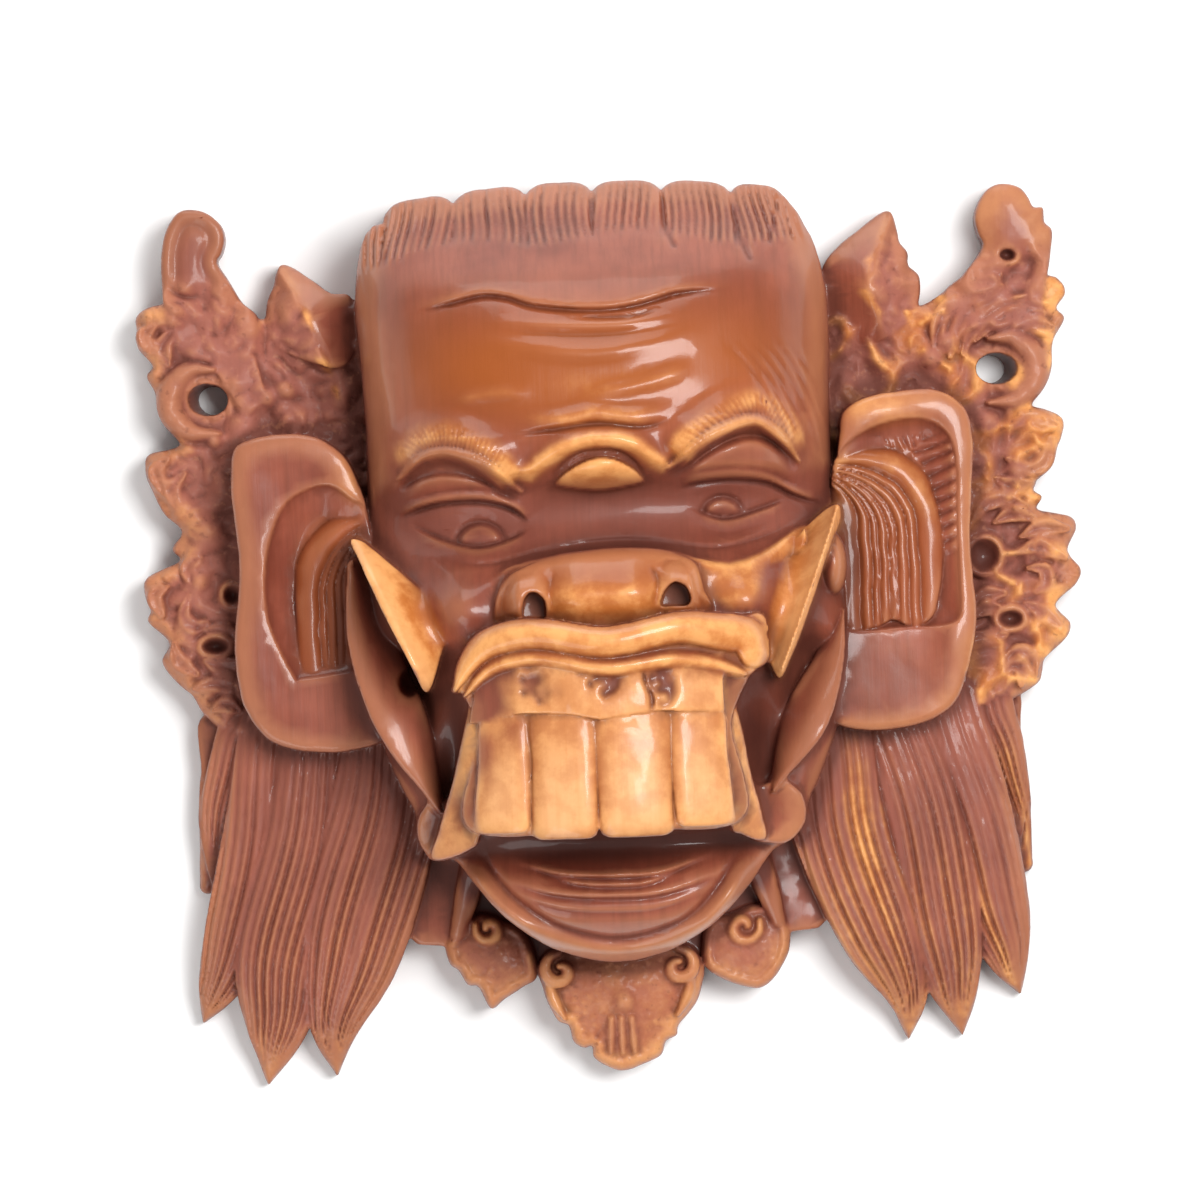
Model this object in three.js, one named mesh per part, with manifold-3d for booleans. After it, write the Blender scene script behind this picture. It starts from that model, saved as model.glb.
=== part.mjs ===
// Guardian mask carved from one block of wood. It lies on its flat back with the face up.
// Millimetres: +X to the right of the face as it is seen, +Y up to the hair, +Z out of the face.

import * as THREE from "three";
import { mergeVertices } from "three/addons/utils/BufferGeometryUtils.js";
import Module from "manifold-3d";

const wasm = await Module();
wasm.setup();

// Main heights above the back
const BELOW = -4;              // every solid starts below the back, and one cut makes the back flat
const HEAD_EDGE = 30;          // where the side of the head meets the wings
const WING_TOP = 19;
const EAR_TOP = 40;
const LOCK_TIP = 9;
const CHIN_LEAF_TOP = 16;
const HOLLOW_DEPTH = 58;
const MIDDLE = [2.2, 1.7];     // middle of the outline, which goes to the origin

// Face along its midline: [distance up the face, height], from the hair down to the chin
const MIDLINE = [
  [146, 32], [138, 45], [129, 57], [122, 68], [111, 82], [98, 90], [84, 94], [70, 96], [60, 97],
  [52, 91], [45, 80], [37, 77], [29, 80], [20, 88], [5, 94], [-15, 92], [-40, 84], [-58, 72],
  [-68, 66], [-78, 74], [-90, 72], [-98, 60], [-106, 44],
];

// Half the width of the head at the same kind of stations
const HALF_WIDTH = [
  [146, 74], [110, 76], [90, 75], [62, 74], [35, 75], [5, 78], [-30, 74], [-60, 63], [-80, 53], [-95, 43],
  [-106, 32],
];

// The two sides differ a little, as hand carving does. Left and right are as the face is seen.
const SIDES = [
  {
    s: -1,
    eye: [43, 37],
    brow: [[64, 54], [56, 62], [48, 64], [40, 61], [32, 55], [25, 46]],
    upperLid: [[65, 40], [48, 44], [34, 42], [22, 35]],
    lowerLid: [[62, 36], [50, 29], [40, 27.5], [25, 31]],
    earHead: 67,
    flutes: { spine: [[84, 44], [91, 32], [93, 10], [90, -10]], half: [4, 10, 13, 11] },
    earFold: [[76, 37], [86, 47], [99, 42], [106, 20], [100, -10]],
    cheekFold: { spine: [[78.5, 31], [70, 18], [61, 2], [56, -15]], half: [0.8, 5, 6, 1.2] },
    jaw: { spine: [[78, 24], [75, 0], [66, -28], [55, -54]], half: [2, 6, 6.5, 0.8] },
    jawHole: [63, -14, 3.2, 5.5],
    mouthSide: [[42, -20], [45, -45], [52, -62], [57, -66]],
    horn: { spine: [[120, 95], [125, 111], [128, 124], [127, 139]], half: [14, 11, 9, 5] },
    hornLobes: [],
    leaf: { spine: [[88, 90], [94, 107], [98.5, 121]], half: [14, 9.5, 0.8] },
    leafKnobs: [[102, 110]],
    hole: [124.5, 122.5, 79],
    wing: [
      [70, 108], [88, 104], [104, 104], [111, 106], [114, 113], [135, 112], [143, 108], [146, 105], [144, 99],
      [145, 96], [141, 90], [143, 87], [139.5, 80], [138, 73], [134, 65], [143, 62.5], [144, 58], [142, 49],
      [139, 43], [134, 38], [137, 32.5], [135, 28], [145, 23.5], [146.5, 19], [144, 13.5], [145, 9], [139, 2],
      [141, -4], [137, -11], [132, -15], [129, -21], [120, -29],
    ],
    locks: [
      { spine: [[112, -24], [122, -50], [130.5, -76]], half: [12, 9.5, 2.5] },
      { spine: [[106, -26], [112, -60], [121, -92], [128.5, -109], [133, -119]], half: [12, 12, 11, 6, 1] },
      { spine: [[90, -28], [98, -64], [108, -100], [110, -122], [113, -139.4]], half: [13, 14, 14, 10, 1] },
      { spine: [[70, -30], [75, -62], [85, -98], [91.5, -122], [91.5, -138]], half: [14, 17.5, 16, 8.3, 1] },
    ],
    chinLeaf: [
      [26.5, -109], [28, -98], [36, -91], [44, -88], [52, -92], [55, -97], [53.5, -104], [48.5, -111],
      [41, -118], [34, -114],
    ],
  },
  {
    s: 1,
    eye: [44, 41],
    brow: [[64, 54], [58, 64], [51, 69], [42, 67.5], [31, 61], [22, 52]],
    upperLid: [[66, 40], [52, 46], [38, 47], [24, 45]],
    lowerLid: [[60, 40], [50, 36.5], [38, 34], [26, 39]],
    earHead: 73,
    flutes: { spine: [[86, 57], [92, 42], [93.5, 22], [91, -1]], half: [8, 13, 14.5, 13.5] },
    earFold: [[76, 49], [85, 57], [97, 55], [104, 44], [107, 24], [102, 0]],
    cheekFold: { spine: [[74, 36.5], [66, 22], [59, 4], [54, -14]], half: [0.8, 4.5, 4.5, 1.2] },
    jaw: { spine: [[74, 4], [69, -14], [61, -32], [50.5, -51]], half: [2, 5, 5.5, 0.8] },
    jawHole: [65, -7, 4.5, 3.5],
    mouthSide: [[36, -20], [39, -44], [44, -60], [50, -63]],
    horn: { spine: [[122, 95], [130, 110], [133, 123], [131.5, 137.7]], half: [14, 12.5, 9.5, 5.5] },
    hornLobes: [[144.5, 128, 4], [147, 119, 5]],
    leaf: { spine: [[85, 92], [88.5, 110], [95, 130.5]], half: [14, 10, 0.8] },
    leafKnobs: [[101, 114], [103, 106]],
    hole: [128.5, 126, 79],
    wing: [
      [70, 108], [88, 104], [103, 100], [112, 105], [120, 111], [145, 111], [149, 106], [150.5, 102],
      [147.5, 97.5], [150, 94], [146, 87], [145, 78], [138.5, 67], [146, 64], [148, 60], [145, 51],
      [138.5, 41], [140, 37.5], [139, 33.5], [149, 31], [151, 27], [148, 20], [151.5, 14], [150, 9],
      [143.5, 3], [148, -3], [146, -8], [139, -14], [138.5, -18], [136.5, -22], [127, -27],
    ],
    locks: [
      { spine: [[114, -24], [123, -50], [130.5, -79]], half: [14, 10, 3] },
      { spine: [[106, -26], [114, -60], [120, -92], [124, -109], [128, -121]], half: [12, 12, 11.5, 7, 1] },
      { spine: [[90, -28], [97, -62], [103, -97], [106.5, -118], [108.7, -133]], half: [13, 13.5, 13, 8, 1] },
      { spine: [[69, -30], [71, -62], [83, -97], [91, -118], [91.5, -133.5]], half: [14, 15, 13.5, 7.5, 1] },
    ],
    chinLeaf: [
      [27, -107], [28, -97], [35, -91.5], [43, -88.5], [51, -91], [55, -98], [54, -105], [49.5, -112],
      [44, -115], [34, -112],
    ],
  },
];

// Ear, and the side of a wing that the head hides. The left side is their mirror image.
const EAR_OUTLINE = [
  [71, -30], [86, -34.5], [100, -32.5], [111, -25], [116.5, -10], [117, 10], [116.5, 32], [118, 52],
  [113, 69], [100, 73], [86, 71.5], [77, 62], [73, 42], [72, 10],
];
const WING_INNER = [[110, -31], [88, -32], [71, -12], [69, 30], [69, 75]];

// Hair along the top: where one lock ends and the next one starts
const HAIR_NOTCHES = [-65, -43, -20, 1, 23, 45, 62];
const HAIR_NOTCH_DEPTH = 3.4;
const crown = (x) => 143.4 - 3.5 * (x / 55) ** 2;

// Teeth of the upper row: [left edge, right edge, lower end]
const TEETH = [[-43.5, -26, -61.5], [-25.5, -5, -64], [-4.2, 18.8, -64], [19.4, 38, -61.5]];
const TOOTH_TOP = -25;
const toothArch = (x) => 115 - 0.0075 * x * x;

// A value that runs smoothly through [place, value] stations given from high to low places
function stations(list) {
  const slope = (i) => {
    const before = list[Math.max(0, i - 1)];
    const after = list[Math.min(list.length - 1, i + 1)];
    return (after[1] - before[1]) / (after[0] - before[0]);
  };
  return (place) => {
    const p = Math.min(list[0][0], Math.max(list.at(-1)[0], place));
    const i = Math.min(list.length - 2, Math.max(0, list.findIndex(([q]) => q <= p) - 1));
    const span = list[i + 1][0] - list[i][0];
    const t = (p - list[i][0]) / span;
    const ease = t * t * (3 - 2 * t);
    const bend = span * t * (1 - t) * ((1 - t) * slope(i) - t * slope(i + 1));
    return list[i][1] * (1 - ease) + list[i + 1][1] * ease + bend;
  };
}

// A value along 0..1 through evenly spaced stations
function evenly(values) {
  const curve = new THREE.SplineCurve(values.map((v, i) => new THREE.Vector2(i, v)));
  return (t) => curve.getPoint(t).y;
}

// A closed outline through the points, as the given number of even steps
function loop(points, steps) {
  const corners = points.map(([x, y]) => new THREE.Vector3(x, y, 0));
  const curve = new THREE.CatmullRomCurve3(corners, true, "centripetal");
  return curve.getSpacedPoints(steps).slice(0, steps).map(({ x, y }) => [x, y]);
}

const mirror = (s, points) => points.map(([x, y]) => [s * x, y]);

// Solid makers

// A geometry as a solid: joined vertices, no empty triangles, facing out
function solidOf(geometry) {
  geometry.deleteAttribute("normal");
  geometry.deleteAttribute("uv");
  const joined = mergeVertices(geometry, 1e-4);
  const index = joined.index.array;
  const triangles = [];
  for (let i = 0; i < index.length; i += 3) {
    const [a, b, c] = index.slice(i, i + 3);
    if (a !== b && b !== c && c !== a) triangles.push(a, b, c);
  }
  const vertProperties = joined.getAttribute("position").array;
  const build = (list) => {
    const mesh = new wasm.Mesh({ numProp: 3, vertProperties, triVerts: new Uint32Array(list) });
    return new wasm.Manifold(mesh);
  };
  const solid = build(triangles);
  return solid.volume() > 0 ? solid : build(triangles.reverse());
}

// Moves every vertex of a geometry to where place(x, y, z) puts it
function reshape(geometry, place) {
  const position = geometry.getAttribute("position");
  for (let i = 0; i < position.count; i++) {
    position.setXYZ(i, ...place(position.getX(i), position.getY(i), position.getZ(i)));
  }
  return solidOf(geometry);
}

const level = (height, x, y) => (typeof height === "function" ? height(x, y) : height);

// A band along a spine: u runs across it from -1 to 1, t along it from 0 to 1
function strip({ spine, half, top, floor = BELOW, across = 4, along = 8 }) {
  const curve = new THREE.SplineCurve(spine.map(([x, y]) => new THREE.Vector2(x, y)));
  const width = evenly(half);
  return reshape(new THREE.BoxGeometry(2, 1, 1, across, along, 1), (u, v, w) => {
    const t = v + 0.5;
    const at = curve.getPoint(t);
    const run = curve.getTangent(t);
    const x = at.x - run.y * u * width(t);
    const y = at.y + run.x * u * width(t);
    return [x, y, w > 0 ? top(x, y, u, t) : level(floor, x, y)];
  });
}

// A plate inside a closed outline: r runs from 0 in its centre to 1 at its edge
function plate({ outline, centre, rings = 4, top, floor = BELOW }) {
  const steps = outline.length;
  const profile = [new THREE.Vector2(0, 0), new THREE.Vector2(1, 0)];
  for (let k = rings; k >= 0; k--) profile.push(new THREE.Vector2(k / rings, 1));
  return reshape(new THREE.LatheGeometry(profile, steps), (px, py, pz) => {
    const turn = Math.round((Math.atan2(pz, px) / (2 * Math.PI) + 1) * steps) % steps;
    const r = Math.min(1, Math.hypot(px, pz));
    const x = centre[0] + r * (outline[turn][0] - centre[0]);
    const y = centre[1] + r * (outline[turn][1] - centre[1]);
    return [x, y, py > 0.5 ? top(x, y, r) : level(floor, x, y)];
  });
}

// A ball with its own half sizes
function ball(centre, sizes, around = 8, up = 4) {
  return reshape(new THREE.SphereGeometry(1, around, up), (x, y, z) => [
    centre[0] + x * sizes[0],
    centre[1] + y * sizes[1],
    centre[2] + z * sizes[2],
  ]);
}

// Head
const midline = stations(MIDLINE);
const halfWidth = stations(HALF_WIDTH);
const mound = (x, y, cx, cy, rx, ry) => Math.exp(-(((x - cx) / rx) ** 2) - ((y - cy) / ry) ** 2);

function head(x, y) {
  const out = Math.min(1, Math.abs(x) / halfWidth(y));
  let z = HEAD_EDGE + (midline(y) - HEAD_EDGE) * Math.sqrt(1 - out ** 3);
  for (const { s, eye } of SIDES) {
    z -= 9 * mound(x, y, s * eye[0], eye[1], 24, 10);
    z += 7 * mound(x, y, s * 44, 12, 13, 12);
    z -= 22 * mound(x, y, s * 62, -14, 9, 16);
    z -= 12 * mound(x, y, s * 48, -40, 7, 22);
  }
  return z;
}

function headOutline() {
  const hair = [[-75.5, 108], [-74, 120], [-71, 129.5]];
  for (let i = 0; i + 1 < HAIR_NOTCHES.length; i++) {
    for (const u of [0, 0.2, 0.8]) {
      const x = HAIR_NOTCHES[i] + u * (HAIR_NOTCHES[i + 1] - HAIR_NOTCHES[i]);
      hair.push([x, crown(x) - HAIR_NOTCH_DEPTH * Math.abs(2 * u - 1) ** 3]);
    }
  }
  hair.push([63, 134.5], [69, 125], [72.5, 114]);
  const right = [
    [75, 90], [74, 62], [75, 34], [78, 8], [75, -22], [66, -50], [54, -75], [38, -92], [20, -101],
  ];
  return [...hair, ...right, [0, -104.5], ...mirror(-1, right).reverse()];
}

function headSolids() {
  const solids = [plate({ outline: headOutline(), centre: [0, 30], rings: 9, top: head })];
  for (const { s, eye, brow, upperLid, lowerLid } of SIDES) {
    const eyeZ = head(s * eye[0], eye[1]) - 4;
    const eyeBall = (x, y) => {
      const q = ((x - s * eye[0]) / 23) ** 2 + ((y - eye[1]) / 10) ** 2;
      return eyeZ + 10 * Math.sqrt(Math.max(0, 1 - q));
    };
    solids.push(ball([s * eye[0], eye[1], eyeZ], [23, 10, 10], 10, 6));
    const onFace = (rise) => (x, y, u) => Math.max(head(x, y), eyeBall(x, y)) + rise * (1 - 1.4 * u * u);
    const under = (x, y) => head(x, y) - 8;
    const lid = { half: [0.8, 2, 2, 0.8], top: onFace(2.4), floor: under, across: 2, along: 5 };
    solids.push(strip({ ...lid, spine: mirror(s, upperLid) }));
    solids.push(strip({ ...lid, spine: mirror(s, lowerLid) }));
    const browHalf = [2.5, 5.5, 6, 6, 5.5, 3];
    const browTop = (x, y, u) => head(x, y) + 8 - 9.5 * u * u;
    solids.push(strip({ spine: mirror(s, brow), half: browHalf, top: browTop, floor: under, along: 6 }));
  }
  return solids;
}

function foreheadSolids() {
  const fold = (spine, half, rise) =>
    strip({
      spine,
      half,
      top: (x, y, u) => head(x, y) + rise - (rise + 1.5) * u * u,
      floor: (x, y) => head(x, y) - 6,
      across: 2,
      along: 5,
    });
  const boss = loop([[-14, 48.5], [-7, 55], [0, 57.5], [7, 55.5], [14, 48], [0, 46]], 14);
  return [
    fold([[-54, 107], [-35, 111], [0, 105], [18, 106], [40, 111]], [1, 4, 5, 4, 1], 2.5),
    fold([[-30, 96], [-8, 91.5], [8, 91.5], [32, 98]], [1, 4, 4, 1], 2.2),
    fold([[-27, 69], [-12, 66], [0, 67], [12, 66], [25, 70]], [1, 2.5, 3, 2.5, 1], 2),
    fold([[-21, 50], [-11, 59], [0, 61.5], [11, 59], [19, 51]], [2, 2.6, 2.6, 2.6, 2], 5),
    plate({
      outline: boss,
      centre: [0, 51.5],
      rings: 3,
      top: (x, y, r) => head(x, y) + 3 + 6 * Math.sqrt(1 - 0.9 * r * r),
      floor: (x, y) => head(x, y) - 6,
    }),
  ];
}

// Nose, lips and teeth
function noseSolids() {
  const bulb = loop([[-20, 5], [-19, 20], [-12, 24.5], [0, 25.5], [14, 25], [19, 20], [19, 5], [0, 2]], 16);
  const noseTop = (x, y, r) => 100 + 15 * Math.sqrt(1 - 0.95 * r ** 3) + 0.1 * (14 - y);
  const solids = [plate({ outline: bulb, centre: [0, 13], rings: 4, top: noseTop, floor: 70 })];
  for (const { s } of SIDES) {
    solids.push(ball([s * 24, 13.5, 92], [9.5, 11, 17]));
  }
  return solids;
}

function nostrils() {
  return SIDES.map(({ s }) => ball([s * 23.5, 10.5, 112], [3.6, 3.6, 11]));
}

function lipSolids() {
  const roll = (spine, half, rise) =>
    strip({
      spine,
      half,
      top: (x, y, u) => toothArch(x) + rise - 5 * u * u,
      floor: 70,
      across: 3,
      along: 10,
    });
  const first = [[-47.5, -16], [-39, -3.5], [-20, 2], [0, -1], [20, 2], [38, -1.5], [48, -6]];
  const second = [[-43, -17], [-30, -7], [-20, -6], [0, -9.5], [20, -8], [33, -10], [43, -13.5]];
  return [roll(first, [3, 5, 4, 4, 4, 5, 4.5], 6), roll(second, [1.5, 3, 3.6, 3.6, 3.6, 3, 1.5], 4)];
}

function teethSolids() {
  const edge = [[-45, -8], [-41, -30], [-45, -60], [0, -61], [40, -60], [38, -30], [43, -8], [0, -2]];
  const behindTeeth = (x) => toothArch(x) - 6;
  const backing = { outline: loop(edge, 14), centre: [0, -30], rings: 2, top: behindTeeth, floor: 50 };
  const solids = [plate(backing)];
  for (const [left, right, end] of TEETH) {
    const spine = [[(left + right) / 2, TOOTH_TOP - 1], [(left + right) / 2, end]];
    const half = (right - left) / 2;
    solids.push(
      strip({
        spine,
        half: [half * 0.9, half, half, half * 0.88],
        top: (x, y, u, t) => toothArch(x) + 2 - 3 * u ** 4 - 4 * (2 * t - 1) ** 6,
        floor: 60,
        across: 4,
        along: 3,
      }),
    );
  }
  solids.push(
    strip({
      spine: [[-37, -19], [-12, -20], [-2, -21], [15, -20], [36, -20]],
      half: [5, 5.5, 6.5, 5.5, 5.5],
      top: (x, y, u) => toothArch(x) + 0.5 - 2 * u * u,
      floor: 60,
      across: 2,
      along: 8,
    }),
  );
  return solids;
}

// Cheek folds, jaw straps and the sides of the mouth
function jawSolids() {
  const solids = [];
  for (const { s, cheekFold, jaw, mouthSide } of SIDES) {
    const foldZ = evenly([74, 88, 94, 90]);
    solids.push(
      strip({
        spine: mirror(s, cheekFold.spine),
        half: cheekFold.half,
        top: (x, y, u, t) => foldZ(t) - 3 * u * u - 1.5 * s * u,
        floor: 20,
        across: 3,
        along: 5,
      }),
    );
    const jawZ = evenly([54, 66, 76, 72]);
    solids.push(
      strip({
        spine: mirror(s, jaw.spine),
        half: jaw.half,
        top: (x, y, u, t) => jawZ(t) - 2 * u * u + 3 * s * u,
        floor: 20,
        across: 3,
        along: 5,
      }),
    );
    const sideZ = evenly([104, 98, 88, 82]);
    solids.push(
      strip({
        spine: mirror(s, mouthSide),
        half: [2.5, 3.5, 6, 6],
        top: (x, y, u, t) => sideZ(t) - 3 * u * u,
        floor: 30,
        across: 2,
        along: 4,
      }),
    );
    solids.push(ball([mouthSide[3][0] * s, mouthSide[3][1] + 3, 66], [9, 8, 16]));
  }
  return solids;
}

function jawHoles() {
  return SIDES.map(({ s, jawHole: [x, y, rx, ry] }) => ball([s * x, y, 74], [rx, ry, 22]));
}

function chinSolids() {
  const rim = (points, half, rise) =>
    strip({
      spine: points,
      half,
      top: (x, y, u) => head(x, y) + rise - (rise + 1.5) * u * u,
      floor: (x, y) => Math.min(30, head(x, y) - 12),
      across: 2,
      along: 9,
    });
  const edge = [[-47, -70], [-38, -84], [-22, -95], [0, -101], [22, -95], [36, -84], [45, -71]];
  const solids = [
    rim(edge, [2, 3, 3, 3, 3, 3, 2], 5),
    rim([[-40, -71], [-20, -78], [0, -80], [20, -78], [40, -70]], [1.5, 2.5, 2.5, 2.5, 1.5], 3),
  ];
  for (const { s, chinLeaf } of SIDES) {
    solids.push(
      plate({
        outline: mirror(s, [[44, -50], [74, -50], [69, -92], [64, -97], [54, -98], [44, -80]]),
        centre: [s * 56, -80],
        rings: 1,
        top: () => 20,
      }),
      plate({
        outline: loop(mirror(s, chinLeaf), 16),
        centre: [s * 41, -102],
        rings: 2,
        top: (x, y, r) => CHIN_LEAF_TOP + 8 * Math.sqrt(1 - r * r),
      }),
      ball([s * 42, -94.5, CHIN_LEAF_TOP + 8], [7, 5.5, 5]),
      ball([s * 18, -106, CHIN_LEAF_TOP + 8], [7, 5, 6]),
    );
  }
  const apron = [[-56, -94], [-50, -70], [50, -70], [56, -94], [27, -106], [0, -108], [-27, -106]];
  solids.push(plate({ outline: apron, centre: [0, -86], rings: 1, top: () => 14 }));
  const centreLeaf = [
    [-26, -106], [-23, -117], [-18, -125.5], [-12, -133], [-8, -137.5], [0, -140], [8, -138], [12.5, -134],
    [18, -126], [24, -118], [27, -106], [16, -100], [0, -97], [-16, -100],
  ];
  solids.push(
    plate({
      outline: loop(centreLeaf, 24),
      centre: [0, -116],
      rings: 2,
      top: (x, y, r) => CHIN_LEAF_TOP - 2 + 10 * Math.sqrt(1 - r * r) + 0.1 * (y + 116),
    }),
  );
  return solids;
}

// Ears
function earSolids() {
  const solids = [];
  for (const { s, earHead, flutes, earFold } of SIDES) {
    const stretch = (y) => (y > 30 ? 30 + ((y - 30) * (earHead - 30)) / 43 : y);
    const outline = mirror(s, EAR_OUTLINE.map(([x, y]) => [x, stretch(y)]));
    const earRim = (r) => 6 * Math.exp(-(((r - 0.9) / 0.09) ** 2));
    solids.push(
      plate({
        outline: loop(outline, 22),
        centre: [s * 95, 18],
        rings: 4,
        top: (x, y, r) => EAR_TOP + earRim(r) - 5 * r ** 12 - 0.06 * (Math.abs(x) - 95),
      }),
      ball([s * 93, -17, EAR_TOP - 1], [20, 14, 6]),
      strip({
        spine: mirror(s, flutes.spine),
        half: flutes.half,
        top: (x, y, u, t) => EAR_TOP + 8 - 4 * u * u - 1.1 * Math.cos(5 * Math.PI * u) - 3 * (2 * t - 1) ** 4,
        floor: 20,
        across: 10,
        along: 3,
      }),
      strip({
        spine: mirror(s, earFold),
        half: [2, 3.2, 3.2, 3.2, 2],
        top: (x, y, u) => EAR_TOP + 7.5 - 4 * u * u,
        floor: 20,
        across: 2,
        along: 6,
      }),
    );
  }
  return solids;
}

// Wings of foliage beside the head, with a horn and a leaf on top
function wingSolids() {
  const solids = [];
  for (const { s, horn, hornLobes, leaf, leafKnobs, wing, hole } of SIDES) {
    const leafTop = (rise, end) => (x, y, u, t) => WING_TOP + rise * (1 - u * u) - end * t * t;
    solids.push(
      plate({
        outline: mirror(s, [...wing, ...WING_INNER]),
        centre: [s * 100, 42],
        rings: 2,
        top: (x, y, r) => WING_TOP + 4 * r * r - 9 * r ** 8,
      }),
      strip({ spine: mirror(s, horn.spine), half: horn.half, top: leafTop(5, 3), across: 2, along: 5 }),
      ball([s * (horn.spine[3][0] + 0.5), horn.spine[3][1] - 9.5, 13], [9.5, 9.5, 11]),
      strip({ spine: mirror(s, leaf.spine), half: leaf.half, top: leafTop(9, 8), across: 2, along: 4 }),
    );
    for (const [x, y] of leafKnobs) solids.push(ball([s * (x - 5), y, 10], [5.5, 5.5, 14]));
    for (const [x, y, size] of hornLobes) solids.push(ball([s * (x - size), y, 8], [size, size, 12]));
    const rimSpine = [[-10, 4], [-4, 9.5], [6, 9], [11, 0], [6, -9], [-4, -9.5]];
    solids.push(
      strip({
        spine: mirror(s, rimSpine.map(([x, y]) => [hole[0] + x, hole[2] + y])),
        half: [1.5, 3, 3.2, 3.2, 3, 1.5],
        top: (x, y, u) => WING_TOP + 7 - 5 * u * u,
        across: 2,
        along: 6,
      }),
    );
  }
  return solids;
}

function wingHoles() {
  return SIDES.map(({ s, hole: [front, back, y] }) =>
    reshape(new THREE.CylinderGeometry(1, 1, 1, 14, 1), (px, py, pz) => {
      const atFront = py > 0;
      const x = (atFront ? front + 7.4 * px : back + 4.6 * px) * s;
      return [x, y + pz * (atFront ? 5.4 : 4.4), atFront ? 40 : -10];
    }),
  );
}

// Locks of hair under the ears, each one a fluted band that ends in a point
function lockSolids() {
  const solids = [];
  for (const { s, locks } of SIDES) {
    const bed = [[58, -40], [124, -20], [131, -40], [131, -66], [118, -100], [84, -104], [66, -92]];
    solids.push(
      plate({
        outline: loop(mirror(s, bed), 12),
        centre: [s * 98, -62],
        rings: 1,
        top: () => 13,
      }),
    );
    locks.forEach(({ spine, half }, layer) => {
      const root = 22 + 4 * layer;
      solids.push(
        strip({
          spine: mirror(s, spine),
          half,
          top: (x, y, u, t) =>
            root + (LOCK_TIP - root) * t ** 1.8 - 4 * (1 - 0.5 * t) * u * u + 0.9 * Math.cos(3 * Math.PI * u),
          across: 6,
          along: 5,
        }),
      );
    });
  }
  return solids;
}

// Hollow back
function hollow() {
  const right = [[40, -66], [57, -20], [59, 40], [56, 95]];
  const edge = [[0, -82], ...right, [0, 118], ...mirror(-1, right).reverse()];
  return plate({
    outline: loop(edge, 18),
    centre: [0, 20],
    rings: 4,
    top: (x, y, r) => 2 + HOLLOW_DEPTH * Math.sqrt(1 - r ** 2.4),
    floor: -10,
  });
}

// Joining
const together = [
  ...headSolids(), ...foreheadSolids(), ...noseSolids(), ...lipSolids(), ...teethSolids(), ...jawSolids(),
  ...chinSolids(), ...earSolids(), ...wingSolids(), ...lockSolids(),
];
const behind = solidOf(new THREE.BoxGeometry(400, 400, 20).translate(0, 0, -10));
const carved = [...nostrils(), ...jawHoles(), ...wingHoles(), hollow(), behind].reduce(
  (solid, cut) => solid.subtract(cut),
  together.reduce((solid, more) => solid.add(more)),
);

const mesh = carved.getMesh();
const geometry = new THREE.BufferGeometry();
geometry.setAttribute("position", new THREE.BufferAttribute(new Float32Array(mesh.vertProperties), 3));
geometry.setIndex(new THREE.BufferAttribute(new Uint32Array(mesh.triVerts), 1));
geometry.translate(-MIDDLE[0], -MIDDLE[1], 0);
geometry.computeVertexNormals();

const wood = new THREE.MeshStandardMaterial({ color: 0x8a4a2b, roughness: 0.45 });
const mask = new THREE.Mesh(geometry, wood);
mask.name = "carved_mask";

const part = new THREE.Group();
part.name = "guardian_mask";
part.add(mask);

export default part;
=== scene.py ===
"""Looks of the carved guardian mask: the carving, its stained wood, a pale floor, studio light and camera.

The mask is carved here as the wood itself: a grid of signed values, below zero inside the wood, to which
bands, plates and balls are added and from which hollows are cut. Its skin becomes one mesh. Lengths are
millimetres until the mesh is made, +X to the right of the face, +Y up to the hair, +Z out of the face.
"""

import math
from types import SimpleNamespace

import bpy
import numpy as np
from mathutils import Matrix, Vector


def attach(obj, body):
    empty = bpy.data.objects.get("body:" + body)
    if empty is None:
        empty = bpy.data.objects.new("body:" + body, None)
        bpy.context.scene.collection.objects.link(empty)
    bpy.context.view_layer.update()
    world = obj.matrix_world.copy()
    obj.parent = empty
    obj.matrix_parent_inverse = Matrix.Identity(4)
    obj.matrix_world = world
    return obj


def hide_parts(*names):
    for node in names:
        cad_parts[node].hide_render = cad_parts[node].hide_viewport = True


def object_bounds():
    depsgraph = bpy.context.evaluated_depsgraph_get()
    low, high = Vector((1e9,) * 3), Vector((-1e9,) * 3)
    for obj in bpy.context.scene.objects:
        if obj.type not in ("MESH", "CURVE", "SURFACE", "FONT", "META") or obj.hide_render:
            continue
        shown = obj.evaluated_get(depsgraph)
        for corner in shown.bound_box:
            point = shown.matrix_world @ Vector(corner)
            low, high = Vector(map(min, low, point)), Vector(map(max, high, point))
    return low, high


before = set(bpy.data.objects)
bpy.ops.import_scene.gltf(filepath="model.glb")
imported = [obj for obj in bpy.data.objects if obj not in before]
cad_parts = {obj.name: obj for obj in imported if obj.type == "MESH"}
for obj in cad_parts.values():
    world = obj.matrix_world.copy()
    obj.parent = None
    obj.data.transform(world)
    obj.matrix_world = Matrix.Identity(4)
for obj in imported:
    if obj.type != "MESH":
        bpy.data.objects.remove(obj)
solid_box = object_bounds()

METRE = 1000

# Sizes shared with the solid. MIDDLE is the point of the face that lies at the frame's zero.
MIDDLE = (2.2, 1.7)
HEAD_EDGE = 30
WING_TOP = 19
EAR_TOP = 40
LOCK_TIP = 9
CHIN_LEAF_TOP = 16
HOLLOW_DEPTH = 58
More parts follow.
